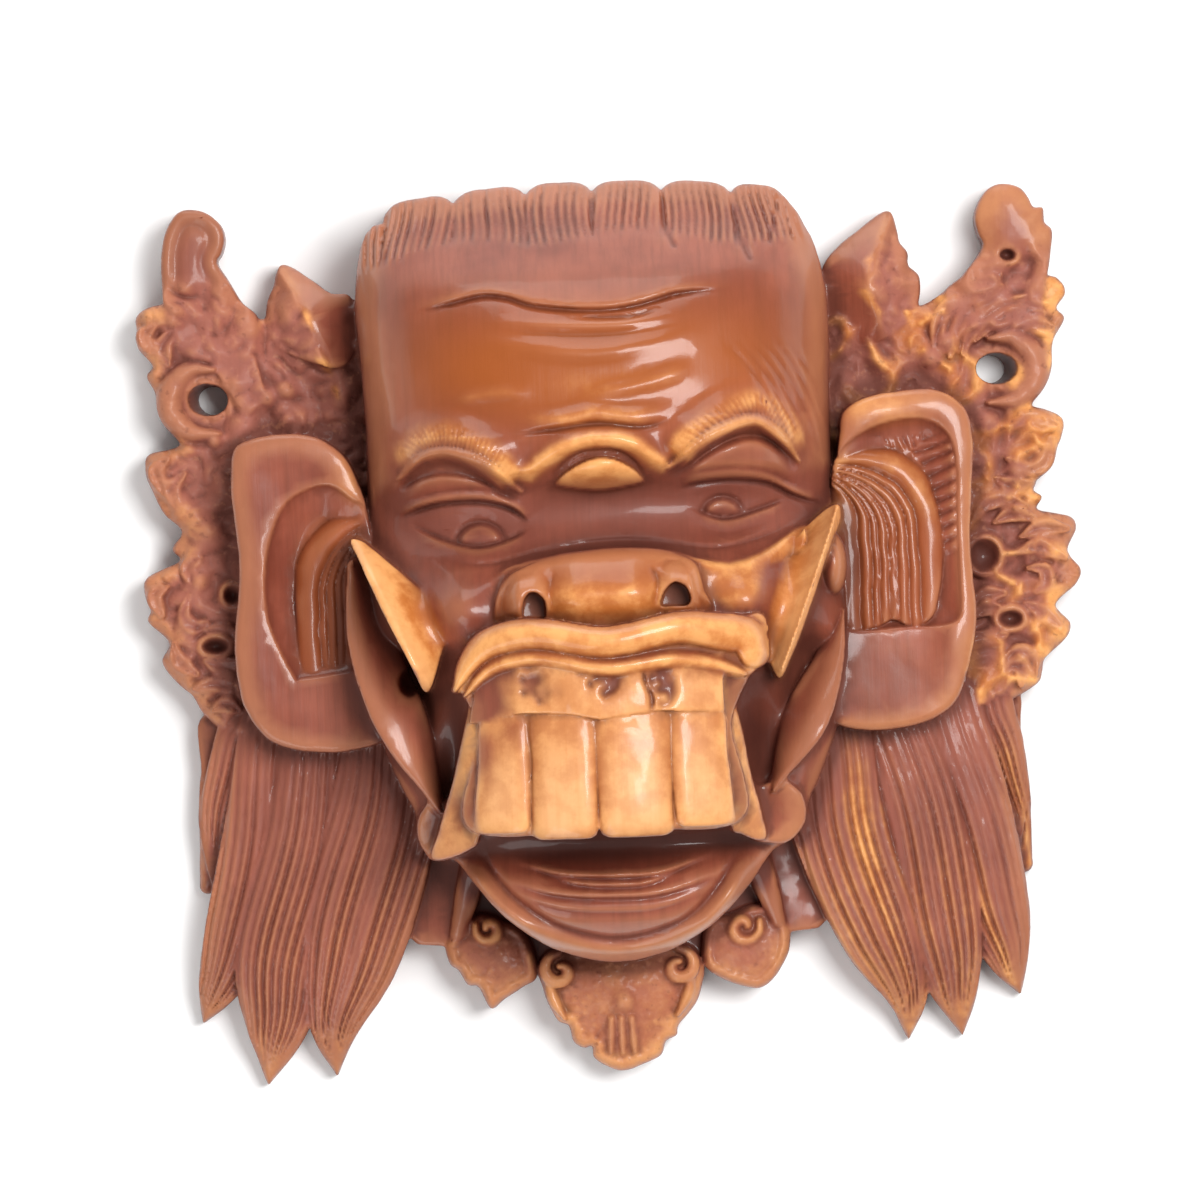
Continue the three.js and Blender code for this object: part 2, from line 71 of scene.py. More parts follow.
# Heights down the middle of the face and half widths of the head, each with its place along Y
MIDLINE = [
    (146, 32), (138, 45), (129, 57), (122, 68), (111, 82), (98, 90), (84, 94), (70, 96), (60, 97),
    (52, 91), (45, 80), (37, 77), (29, 80), (20, 88), (5, 94), (-15, 92), (-40, 84), (-58, 72),
    (-68, 66), (-78, 74), (-90, 72), (-98, 60), (-106, 44),
]
HALF_WIDTH = [
    (146, 75), (110, 76), (90, 75), (62, 74), (35, 75), (5, 78), (-30, 74), (-60, 63), (-80, 53),
    (-95, 43), (-106, 32),
]
# Notches between the tufts of hair, the left, right and lower edges of the teeth, and the gum's edge
HAIR_NOTCHES = [-74, -65, -43, -20, 1, 23, 45, 62, 73]
TEETH = [(-43.5, -26, -61.5), (-25.5, -5, -64), (-4.2, 18.8, -64), (19.4, 38, -61.5)]
GUM_EDGE = [(-44, -27), (-27, -24), (-12, -25), (-3, -27), (5, -26), (15, -25), (36, -26)]
# Half the width of a carved stroke, as a share of the space between strokes
STROKE = 0.27

# Grid of the wood
PITCH = 0.6
GRID_X = np.arange(-154, 156, PITCH)
GRID_Y = np.arange(-144, 148, PITCH)
GRID_Z = np.arange(-2.5, 126, PITCH)
FULL_X, FULL_Y = np.meshgrid(GRID_X, GRID_Y, indexing="ij")
TRIANGLES = 190000
# The maps painted on the front: real staining, with painted highlights among the gold and painted shade among
# the dark.
STAINS_AND_PAINTED_LIGHT = ("gilt", "tooth", "amber", "dark", "matte")
dice = np.random.default_rng(7)


# Curves and blends


def ease(low, high, value):
    """0 below low, 1 above high, with a smooth step between them."""
    t = np.clip((value - low) / (high - low), 0, 1)
    return t * t * (3 - 2 * t)


def soft_max(a, b, k):
    """The larger of two values, rounded over k where they meet."""
    h = np.clip(0.5 + 0.5 * (a - b) / k, 0, 1)
    return b + (a - b) * h + k * h * (1 - h)


def soft_min(a, b, k):
    return -soft_max(-a, -b, k)


def bell(value, width):
    """1 at zero, dying away over the width on both sides."""
    return np.exp(-((value / width) ** 2))


def mound(x, y, cx, cy, rx, ry):
    """1 at a centre, dying away over its two radii."""
    return np.exp(-(((x - cx) / rx) ** 2) - ((y - cy) / ry) ** 2)


def stations(table, place):
    """A value that runs smoothly through (place, value) stations, given from high to low."""
    p, v = np.array(table, float)[::-1].T
    slope = np.gradient(v) / np.gradient(p)
    slope[1:-1] = (v[2:] - v[:-2]) / (p[2:] - p[:-2])
    at = np.clip(place, p[0], p[-1])
    i = np.clip(np.searchsorted(p, at) - 1, 0, len(p) - 2)
    span = p[i + 1] - p[i]
    t = (at - p[i]) / span
    step = t * t * (3 - 2 * t)
    bend = span * t * (1 - t) * ((1 - t) * slope[i] - t * slope[i + 1])
    return v[i] * (1 - step) + v[i + 1] * step + bend


def curve(points, steps, closed=False):
    """Points along a smooth curve through the given ones."""
    p = np.array(points, float)
    if p.ndim == 1:
        p = p[:, None]
    count = len(p)
    if closed:
        p = np.concatenate([p[-1:], p, p[:2]])
        s = np.linspace(0, count, steps, endpoint=False)
    else:
        p = np.concatenate([2 * p[:1] - p[1:2], p, 2 * p[-1:] - p[-2:-1]])
        s = np.linspace(0, count - 1, steps)
    i = np.minimum(s.astype(int), len(p) - 4)
    t = (s - i)[:, None]
    a, b, c, d = p[i], p[i + 1], p[i + 2], p[i + 3]
    return 0.5 * (2 * b + (c - a) * t + (2 * a - 5 * b + 4 * c - d) * t**2 + (3 * b - 3 * c + d - a) * t**3)


def evenly(values, t):
    """A value along 0..1 through evenly spaced stations."""
    fine = curve(values, 65)[:, 0]
    return np.interp(t, np.linspace(0, 1, 65), fine)


def mirror(s, points):
    """Points counted outward from the middle, put on the side s."""
    return [(s * x, y) for x, y in points]


def window(points, margin):
    """The stretch of the grid around some points."""
    p = np.asarray(points)
    low, high = p.min(0) - margin, p.max(0) + margin
    wx = slice(*np.searchsorted(GRID_X, (low[0], high[0])))
    wy = slice(*np.searchsorted(GRID_Y, (low[1], high[1])))
    return wx, wy


def to_segment(x, y, a, b):
    """How far along a segment its nearest point is, from 0 to 1, and how far away it is."""
    run = b - a
    dx, dy = x - a[0], y - a[1]
    k = np.clip((dx * run[0] + dy * run[1]) / max(run @ run, 1e-9), 0, 1)
    return k, np.hypot(dx - k * run[0], dy - k * run[1])


class Band:
    """A band along a spine: t runs along it from 0 to 1, u across it from -1 to 1 (positive on the left of
    its way), away is the distance from the spine and side how far outside the band a point is."""

    def __init__(self, spine, half, steps=48, margin=4, place=None):
        line = curve(spine, steps)
        self.place = place or window(line, max(half) + margin)
        self.x, self.y = FULL_X[self.place], FULL_Y[self.place]
        self.away = np.full(self.x.shape, 1e9)
        self.t = np.zeros(self.x.shape)
        turn = np.zeros(self.x.shape)
        for i, (a, b) in enumerate(zip(line[:-1], line[1:])):
            k, away = to_segment(self.x, self.y, a, b)
            closer = away < self.away
            self.away = np.where(closer, away, self.away)
            self.t = np.where(closer, (i + k) / (steps - 1), self.t)
            cross = (b[0] - a[0]) * (self.y - a[1]) - (b[1] - a[1]) * (self.x - a[0])
            turn = np.where(closer, cross, turn)
        self.width = np.maximum(evenly(half, self.t), 0.05)
        self.left = np.sign(turn) * self.away
        self.above = self.left * np.sign(line[-1][0] - line[0][0])
        self.u = self.left / self.width
        self.side = self.away - self.width

    def ends(self, first, last):
        """1 along the band, fading to 0 over a share of it at either end."""
        return ease(0, first, self.t) * ease(0, last, 1 - self.t)


class Plate:
    """The inside of a closed outline: side is how far out, r runs from 0 in its centre to 1 at its edge."""

    def __init__(self, outline, centre=None, margin=4, place=None):
        line = np.asarray(outline, float)
        self.place = place or window(line, margin)
        self.x, self.y = FULL_X[self.place], FULL_Y[self.place]
        nearest = np.full(self.x.shape, 1e9)
        inside = np.zeros(self.x.shape, bool)
        for a, b in zip(line, np.roll(line, -1, 0)):
            nearest = np.minimum(nearest, to_segment(self.x, self.y, a, b)[1])
            crosses = (a[1] > self.y) != (b[1] > self.y)
            with np.errstate(divide="ignore", invalid="ignore"):
                reach = a[0] + (self.y - a[1]) * (b[0] - a[0]) / (b[1] - a[1])
            inside ^= crosses & (self.x < reach)
        self.side = np.where(inside, -nearest, nearest)
        if centre is not None:
            turn = np.arctan2(line[:, 1] - centre[1], line[:, 0] - centre[0])
            reach = np.hypot(line[:, 1] - centre[1], line[:, 0] - centre[0])
            order = np.argsort(turn)
            here = np.arctan2(self.y - centre[1], self.x - centre[0])
            edge = np.interp(here, turn[order], reach[order], period=2 * np.pi)
            self.r = np.hypot(self.y - centre[1], self.x - centre[0]) / edge


class Wood:
    """The block: below zero is wood. It also keeps what each part of the front is stained with, and the light
    and shade painted on it.
    """

    def __init__(self):
        self.field = np.full((len(GRID_X), len(GRID_Y), len(GRID_Z)), 20.0, np.float32)
        self.front = np.zeros(FULL_X.shape)
        self.stain_and_light = {name: np.zeros(FULL_X.shape) for name in STAINS_AND_PAINTED_LIGHT}

    def body(self, piece, top, floor, rounding):
        """The signed values of a piece between its floor and its top, and where they belong."""
        wz = slice(*np.searchsorted(GRID_Z, (np.min(floor) - 4, np.max(top) + 4)))
        z = GRID_Z[wz].astype(np.float32)
        lid = z - np.asarray(top, np.float32)[:, :, None]
        wall = np.asarray(piece.side, np.float32)[:, :, None]
        value = soft_max(lid, wall, rounding) if rounding else np.maximum(lid, wall)
        return (*piece.place, wz), np.maximum(value, np.float32(floor) - z)

    def add(self, piece, top, floor=-20.0, rounding=1.0, blend=0.8, **stains_and_light):
        """Join a piece to the block, and colour what shows of it with its staining and its painted light and
        shade.
        """
        top = np.broadcast_to(top, piece.x.shape)
        place, value = self.body(piece, top, floor, rounding)
        old = self.field[place]
        self.field[place] = soft_min(old, value, blend) if blend else np.minimum(old, value)
        front = self.front[piece.place]
        seen = (piece.side < 0) & (top > front - 0.6)
        self.front[piece.place] = np.where(seen, top, front)
        for name, tint in self.stain_and_light.items():
            tint[piece.place] = np.where(seen, stains_and_light.get(name, 0.0), tint[piece.place])

    def cut(self, piece, top, floor, blend):
        """Take a piece out of the block."""
        place, value = self.body(piece, top, floor, 0)
        self.field[place] = soft_max(self.field[place], -value, blend)

    def ball(self, centre, sizes, blend=1.0, cut=False, **stains_and_light):
        """Join an egg-shaped lump to the block, or cut one out of it."""
        wx, wy, wz = [
            slice(*np.searchsorted(grid, (c - 1.6 * size - 3, c + 1.6 * size + 3)))
            for grid, c, size in zip((GRID_X, GRID_Y, GRID_Z), centre, sizes)
        ]
        dx = (GRID_X[wx, None, None] - centre[0]) / sizes[0]
        dy = (GRID_Y[None, wy, None] - centre[1]) / sizes[1]
        dz = (GRID_Z[None, None, wz] - centre[2]) / sizes[2]
        far = np.sqrt(dx**2 + dy**2 + dz**2)
        slope = np.sqrt((dx / sizes[0]) ** 2 + (dy / sizes[1]) ** 2 + (dz / sizes[2]) ** 2)
        value = (far * (far - 1) / np.maximum(slope, 1e-6)).astype(np.float32)
        old = self.field[wx, wy, wz]
        self.field[wx, wy, wz] = soft_max(old, -value, blend) if cut else soft_min(old, value, blend)
        reach = dx[:, :, 0] ** 2 + dy[:, :, 0] ** 2
        seen = reach < 1
        if not cut:
            top = centre[2] + sizes[2] * np.sqrt(np.clip(1 - reach, 0, 1))
            seen &= top > self.front[wx, wy]
            self.front[wx, wy] = np.where(seen, top, self.front[wx, wy])
        for name, tint in self.stain_and_light.items():
            tint[wx, wy] = np.where(seen, stains_and_light.get(name, 0.0), tint[wx, wy])

    def tint(self, name, outline, value, soft=2.0):
        """Colour everything inside an outline, fading over its edge; used for staining and for painted shade
        and highlight.
        """
        area = Plate(outline, margin=soft + 2)
        inside = 1 - ease(-soft, soft, area.side)
        tint = self.stain_and_light[name]
        tint[area.place] += (value - tint[area.place]) * inside

    def streak(self, name, spine, half, value):
        """Colour along a line; used for the golden highlights painted on the wings."""
        band = Band(spine, half, 24)
        tint = self.stain_and_light[name]
        tint[band.place] = np.maximum(tint[band.place], value * (1 - ease(0.3, 1, np.abs(band.u))))


def blur(image, size):
    """A grid picture softened over a size in millimetres."""
    fx = np.fft.fftfreq(image.shape[0], PITCH)[:, None]
    fy = np.fft.rfftfreq(image.shape[1], PITCH)[None]
    soft = np.exp(-2 * (np.pi * size) ** 2 * (fx**2 + fy**2))
    return np.fft.irfft2(np.fft.rfft2(image) * soft, image.shape)


def lumps(size):
    """Even random swellings of one size, about -1 to 1."""
    swell = blur(dice.standard_normal(FULL_X.shape), size)
    return swell / (2 * swell.std())


def foliage(size):
    """Round lumps of one size with creases between them, 0 in a crease."""
    return np.clip(2 * np.abs(lumps(size)), 0, 2)


def pebbles(spacing, seed):
    """Round knobs with creases between them, 0 in a crease and 1 on a knob, set in uneven rows."""
    knobs = np.random.default_rng(seed)
    nearest = np.full(FULL_X.shape, 1e9)
    second = np.full(FULL_X.shape, 1e9)
    for cx in np.arange(-158, 160, spacing):
        for cy in np.arange(-148, 152, spacing):
            px, py = np.array((cx, cy)) + knobs.uniform(-0.45, 0.45, 2) * spacing
            place = window([(px, py)], 1.7 * spacing)
            far = np.hypot(FULL_X[place] - px, FULL_Y[place] - py)
            near = nearest[place]
            second[place] = np.minimum(second[place], np.maximum(near, far))
            nearest[place] = np.minimum(near, far)
    return ease(0, 1, np.clip((second - nearest) / (0.75 * spacing), 0, 1))


def curl(cx, cy, radius, start, turns=1.2, s=1):
    """Points of a spiral that winds in to its centre."""
    k = np.linspace(0, 1, 11)
    angle = np.radians(start) + s * turns * 2 * np.pi * k
    r = radius * (1 - 0.75 * k)
    return list(zip(cx + r * np.cos(angle), cy + r * np.sin(angle)))


# What differs between the two sides, as the face is seen, with x counted outward from the middle.
# iris: middle and radius. flutes: hub, level of the turn, stretch, height and the folds' edges.
# jaw and locks: spine and half widths. hole: middle at the front and at the back, and its level.
# jaw_hole and pits: middle and radii. knobs: middle and radius. chin_curl: middle, radius and start.
LEFT = SimpleNamespace(
    s=-1,
    eye=(43, 37),
    iris=(38.5, 30.5, 7.2),
    brow=[(64, 53), (57, 61), (49, 63), (41, 60.5), (33, 54.5), (26, 46)],
    brow_rim=[(63.5, 51), (57, 56), (49, 57.8), (41, 56.2), (34, 52.5), (25, 45.5)],
    lid_fold=[(66, 46), (58, 50.5), (48, 52), (36, 49), (26, 42)],
    upper_lid=[(66, 38.5), (57, 41.8), (49, 43.3), (38, 43.3), (28, 40.5), (22, 35)],
    lower_lid=[(63, 37.5), (54, 32.5), (46, 29.3), (38, 28), (28, 30.5), (22, 34)],
    ear=[
        (71, -31.5), (78, -33.5), (88, -34.5), (100, -33), (109, -29), (115, -20), (117.5, -8),
        (117.5, 5), (115.5, 20), (115.5, 32), (117, 50), (115, 63), (105, 66.5), (95, 66.5), (87, 64),
        (80, 58), (75.5, 47), (74, 41),
    ],
    ear_hollow=[
        (74, 42), (79, 45.5), (85, 49.8), (92, 49.3), (100, 44.5), (105, 34), (107.3, 22), (107, 10),
        (104, 0), (99, -10.5), (97, -11), (88, -10), (79, -8), (72, 0), (71, 30),
    ],
    flute_area=[
        (78, 41), (84, 41.8), (91, 39.5), (96, 33), (98, 25), (98, 8), (96.5, -10), (88, -9), (79, -7.5),
        (73, 10), (74, 36),
    ],
    flutes=(41, 10, 0.85, 38.8, (0, 7, 10.5, 13, 16, 18.5, 27)),
    cheek_fold=[
        (79.3, 32), (75, 31.5), (67, 24.5), (59, 17), (52, 10), (50, 2), (53, -8), (57, -16.5), (62, -7),
        (70, 10), (76, 24),
    ],
    cheek_crest=[(79, 31.5), (75, 22.5), (69, 8.5), (62, -7), (57, -16)],
    jaw=([(78.5, 24), (74.5, 0), (65, -27), (54, -54)], [2.5, 7, 8, 1.0]),
    jaw_hole=(62.5, -13, 3.6, 5.2),
    mouth_side=[
        (39, -20), (41, -30), (42, -60), (46, -66.5), (57.5, -69), (55, -60), (50, -45), (46, -30),
        (43, -20),
    ],
    lobe=[(48, -54), (58, -52), (62, -58), (61, -65), (57, -68.5), (50, -67.5), (46, -62)],
    horn=[
        (136, 107), (137, 121), (136, 130), (133, 136.5), (129, 139.5), (123, 139), (118, 135),
        (116.5, 130), (117.5, 125.5), (119, 122.5), (116, 117), (112, 110), (107, 104), (110, 92),
        (130, 92),
    ],
    leaf=[
        (77, 110), (83, 111.3), (88, 115), (94, 119.5), (98.5, 121.3), (100.5, 118.5), (101.5, 114.5),
        (104, 108), (103, 97), (92, 90), (80, 88), (74, 99),
    ],
    leaf_ridge=[(98.3, 120), (93.5, 111), (89.5, 102), (83, 86)],
    hole=(124.5, 122.5, 79),
    wing=[
        (70, 108), (88, 104), (104, 104), (111, 105), (116, 112), (136, 110), (143, 108.5), (146, 105),
        (144, 99.5), (145, 96), (141, 90.5), (143, 87), (139.5, 80), (138, 73), (133.5, 65), (143, 62.5),
        (144.5, 58), (142, 49), (139, 43), (134, 37.5), (137, 32), (135, 28), (145, 23.5), (146.5, 19),
        (144, 13.5), (145.5, 9), (139, 2), (141.5, -4), (137, -11), (132.5, -15), (129, -21), (120, -29),
    ],
    petals=[
        [(139, 104), (143, 100), (141, 95)], [(133, 102), (137, 97), (136, 91)],
        [(137, 61), (141, 57), (139, 50)], [(132, 56), (136, 51), (135, 45)],
        [(139, 20), (143, 17), (141, 11)], [(132, 17), (134, 11), (131, 7), (127, 8)],
        [(127, 5.5), (122, 5.5), (117, 2)], [(128, -4), (123, -6), (117, -5)],
        [(132, -13), (125, -11.5), (118, -13)], [(138, 2), (136, -4), (131, -8)],
        [(128, 29), (132, 26), (131, 21)], [(126, -20), (122, -18), (118, -20)],
    ],
    chips=[
        [(92.5, 106), (91, 104), (89.5, 100.5)], [(88.5, 90.5), (86, 88.5), (84.5, 85)],
        [(84, 82), (82, 78)],
    ],
    knobs=[(113, 70, 5.5), (118, 58, 4), (105, 79, 4), (115, 84, 3.5), (99, 81, 4), (122, 66, 3)],
    pits=[(118.5, 16.5, 2.2, 2.6), (124.5, 0.5, 3.8, 2.2)],
    locks=[
        ([(112, -24), (122, -50), (130.5, -76)], [12, 9.5, 2.5]),
        ([(106, -26), (112, -60), (121, -92), (128.5, -109), (133.5, -119.5)], [12, 12.5, 11, 6.5, 0.4]),
        ([(90, -28), (98, -64), (108, -100), (110, -122), (113.5, -140)], [13, 14.5, 14, 10, 0.4]),
        ([(70, -30), (75, -62), (85, -98), (91.5, -122), (91.5, -138)], [14, 17.5, 16, 8.3, 0.4]),
    ],
    chin_leaf=[
        (26.5, -109), (27, -101), (31, -93), (38, -90), (44, -88), (51, -92.5), (55, -97), (54, -103.5),
        (51, -106), (48.5, -110.5), (45, -111.5), (41.5, -118.5), (37, -115.5), (31, -112),
    ],
    chin_curl=(41, -93, 4.5, 160),
    horn_shade=0.3,
    brow_gold=0.2,
    cheek_reach=15,
    cheek_merge=1.7,
    mouth_edge=43.5,
    ear_rim=0.7,
    lobe_gold=0.06,
    flute_gold=0.12,
    crest_gold=0.35,
    petal_gold=0.2,
    lock_gold=0.35,
)
RIGHT = SimpleNamespace(
    s=1,
    eye=(44, 41),
    iris=(38, 36.5, 6),
    brow=[(64, 53), (58, 63), (51, 68.5), (42, 67), (31, 60.5), (22, 52)],
    brow_rim=[(63, 51.5), (57, 59.5), (50, 64), (42, 63), (32, 58.3), (22, 51)],
    lid_fold=[(64, 50), (56, 57), (46, 60), (35, 56.5), (25, 49)],
    upper_lid=[(73, 37.5), (62, 41), (53, 45.5), (42, 47), (32, 46.5), (24, 45)],
    lower_lid=[(60, 40), (50, 36.5), (38, 34), (26, 39)],
    ear=[
        (69.5, -31), (76, -33.5), (85, -34.5), (95, -33.5), (103, -31), (110, -26), (115, -13),
        (117.5, 0), (117, 12), (116.5, 26), (117.5, 40), (118.5, 55), (117, 65), (112, 70.5), (105, 73),
        (95, 72.7), (85, 71), (78, 67), (76.5, 60),
    ],
    ear_hollow=[
        (75, 52), (80, 58), (88, 62), (97, 64), (105, 63), (111, 58), (113.3, 48), (112.8, 30), (113, 10),
        (112, 0), (105, -2.2), (95, -2.2), (76, -2), (72, 10), (72, 40),
    ],
    flute_area=[
        (74, 50), (84, 56.5), (94, 57.5), (101.5, 50.5), (106, 38), (108, 22), (105, 4), (101, -1.2),
        (96, -1.8), (91, 0.2), (85, -2), (76, -0.8), (73, 20),
    ],
    flutes=(50, 25, 1.12, 41.5, (0, 9, 13, 15.5, 18.5, 21, 24.5, 28, 37)),
    cheek_fold=[
        (74.5, 37.5), (75.5, 33), (72, 25), (68, 15), (63, 2), (57, -12), (53.5, -16.5), (50.5, -8),
        (51.5, 4), (55.5, 16), (61, 27), (69, 35),
    ],
    cheek_crest=[(74.3, 36.5), (70.5, 26), (65, 12), (59, -3), (54.5, -14)],
    jaw=([(75, 4), (69.5, -13), (61, -31), (50.5, -51)], [0.8, 5, 7, 0.8]),
    jaw_hole=(65, -6.5, 4.6, 3.6),
    mouth_side=[
        (34, -20), (35.5, -30), (36.5, -60), (40, -65), (47.5, -66.5), (46, -56), (43.5, -45), (41, -30),
        (38, -20),
    ],
    lobe=[(44, -52), (53, -49), (59.5, -53), (60.5, -61), (56, -67.5), (50, -68.5), (44.5, -64)],
    horn=[
        (144, 104), (146.7, 117), (147, 122.5), (144.7, 125), (144.5, 129.5), (141.5, 130), (140, 133),
        (137, 136.5), (131, 137.7), (126, 135), (122.5, 128), (123.5, 122), (125, 119), (123.5, 115.5),
        (118, 109), (112, 103), (118, 92), (140, 92),
    ],
    leaf=[
        (74, 114), (85, 124.5), (95, 130.7), (98, 124), (98.5, 120.5), (101, 117), (101, 113),
        (104.3, 109), (103.5, 100), (98, 93), (86, 88), (72, 96),
    ],
    leaf_ridge=[(94.8, 129.5), (90.5, 117), (88.5, 107), (91, 96)],
    hole=(128.5, 126, 79),
    wing=[
        (70, 108), (88, 104), (103, 100), (112, 104), (121, 108), (144, 108), (149, 106), (150.5, 102),
        (147.5, 97.5), (150, 94), (146, 87), (145, 78), (138.5, 67), (146, 64), (148.5, 60), (145, 51),
        (138, 41), (140.5, 37.5), (139, 33.5), (149, 31), (151, 27), (148, 20), (152, 14), (150, 9),
        (143.5, 3), (148, -3), (146, -8), (139.5, -14), (138.5, -18), (136.5, -22), (127, -27),
    ],
    petals=[
        [(117, 84), (121, 92), (129, 98), (139, 101.5)], [(121, 88), (127, 93.5), (134, 96), (143, 96)],
        [(113, 83), (116, 93), (122, 100), (130, 105)], [(133, 90), (139, 93), (146, 91)],
        [(108, 84), (110, 95), (115, 102)], [(118, 30), (122, 35.5), (128, 37.5), (135, 35)],
        [(125, 30), (131, 32.5), (137, 31)], [(135, 15), (140, 14.5), (141, 10), (137.5, 7.5)],
        [(133, 25), (140, 28), (148, 27)], [(132, 20), (139, 22), (147, 18)],
        [(117, 4), (121, 7), (127, 7.5)], [(117, 0), (121, 2.8), (125, 3)],
        [(117, -5), (121, -6.5), (127, -6)], [(134, 4), (139, 1), (145, -4)],
        [(126, -14), (131, -11), (135, -13.5), (136, -19)],
        [(126, -18), (129.5, -15.5), (132, -17.5), (131.5, -22)], [(132, 60), (139, 63), (146, 60)],
        [(130, 50), (137, 46.5), (142, 49), (144, 56)], [(126, 44), (131, 41.5), (137, 42)],
        [(126, 110), (123, 106), (119, 103)], [(130, 109), (126, 104), (122, 100)],
    ],
    chips=[[(84.4, 109), (87, 103.5), (91.7, 97.5)], [(79, 94.5), (81, 91)], [(87, 113), (89, 116)]],
    knobs=[(120, 50, 4), (112, 88, 4), (124, 62, 4.5), (107, 83, 4), (133, 46, 4)],
    pits=[(121.5, 19.5, 4.2, 4.8), (129, -0.8, 3.6, 2.4), (132.5, 115, 2.4, 1.8)],
    locks=[
        ([(114, -24), (123, -50), (130.5, -79)], [14, 10, 3]),
        ([(106, -26), (114, -60), (120, -92), (124, -109), (127.7, -120.8)], [12, 12.5, 11.5, 7, 0.4]),
        ([(90, -28), (97, -62), (103, -97), (106.5, -118), (108.7, -133)], [13, 13.5, 13, 8, 0.4]),
        ([(69, -30), (71, -62), (83, -97), (91, -118), (91.5, -133.5)], [14, 15, 13.5, 7.5, 0.4]),
    ],
    chin_leaf=[
        (27, -107), (27, -98), (30, -92.5), (36, -91), (43, -88.5), (50, -90), (54.5, -95.5),
        (54.5, -103), (51, -110), (46, -114.8), (41, -115), (33, -112),
    ],
    chin_curl=(40, -95.5, 5.5, 20),
    # The gold shares below are higher than on the left, partly as painted highlight where the right side is
    # lit more brightly.
    horn_shade=0.0,
    brow_gold=0.45,
    cheek_reach=12,
    cheek_merge=0.75,
    mouth_edge=38,
    ear_rim=1.5,
    lobe_gold=0.2,
    flute_gold=0.3,
    crest_gold=0.7,
    petal_gold=0.45,
    lock_gold=0.85,
)
SIDES = [LEFT, RIGHT]
WING_INNER = [(110, -31), (88, -32), (71, -12), (69, 30), (69, 75)]


# Face


def head_height(x, y):
    """The bare head, with its eye hollows, cheeks and the hollows beside the mouth."""
    out = np.minimum(1, np.abs(x) / stations(HALF_WIDTH, y))
    z = HEAD_EDGE + (stations(MIDLINE, y) - HEAD_EDGE) * np.sqrt(1 - out**3)
    for side in SIDES:
        s, eye = side.s, side.eye
        z = z - 9 * mound(x, y, s * eye[0], eye[1], 24, 10)
        z = z + 7 * mound(x, y, s * 44, 12, 13, 12)
        z = z - 22 * mound(x, y, s * 62, -14, 9, 16)
        z = z - 12 * mound(x, y, s * 48, -40, 7, 22)
    return z


def crown(x):
    """The top edge of the hair."""
    return 143.4 - 3.5 * (x / 55) ** 2


def head_outline():
    """The edge of the head: tufts along the hair, then round by the right side and the chin."""
    line = [(-75.5, 100), (-75.5, 108), (-74.5, 118), (-73, 125), (-71, 129.5)]
    line += [(-68.5, 131.8), (-65.5, 132.4)]
    for a, b in zip(HAIR_NOTCHES[1:-2], HAIR_NOTCHES[2:-1]):
        for u in np.linspace(0, 1, 13)[:-1]:
            x = a + u * (b - a)
            line.append((x, crown(x) - 3.4 * abs(2 * u - 1) ** 4))
    line += [(62, 136), (66, 130.5), (70, 122.5), (72.5, 114), (74, 105)]
    right = [
        (74.5, 90), (73.5, 62), (74.5, 34), (77, 8), (75, -22), (66, -48), (57, -62), (49, -72), (43, -80),
        (36, -88), (26, -96), (14, -102),
    ]
    ring = curve([(74, 105), *right, (0, -104.5), *reversed(mirror(-1, right)), (-75.5, 100)], 110)
    return line + [tuple(p) for p in ring[1:-1]]


class Surface:
    """The front of the head as heights on the whole grid, with its staining and its painted light and shade.
    """

    def __init__(self):
        self.z = head_height(FULL_X, FULL_Y)
        self.stain_and_light = {name: np.zeros(FULL_X.shape) for name in STAINS_AND_PAINTED_LIGHT}

    def brush(self, name, place, amount):
        """Raise the staining or the painted light and shade at a place to at least this much."""
        self.stain_and_light[name][place] = np.maximum(self.stain_and_light[name][place], amount)

    def swell(self, spine, half, rise, gilt=0.0, fade=0.3):
        """A soft roll that dies away on both sides and at both ends."""
        band = Band(spine, [3 * half] * 2)
        soft = band.ends(fade, fade) * bell(band.away, half)
        self.z[band.place] += rise * soft
        self.brush("gilt", band.place, gilt * soft)

    def groove(self, spine, width, depth, fade=0.18):
        """A soft line cut into the surface."""
        band = Band(spine, [width * 3] * 2)
        self.z[band.place] -= depth * band.ends(fade, fade) * bell(band.away, width)

    def fold(self, spine, rise, reach, fade=0.15):
        """Skin that swells above a line and ends in a sharp edge on it."""
        band = Band(spine, [2.5 * reach] * 2)
        lift = rise * ease(-0.7, 0.7, band.above) * bell(np.maximum(band.above, 0), reach)
        crease = 0.5 * rise * bell(band.above + 0.9, 0.9)
        self.z[band.place] += band.ends(fade, fade) * (lift - crease)


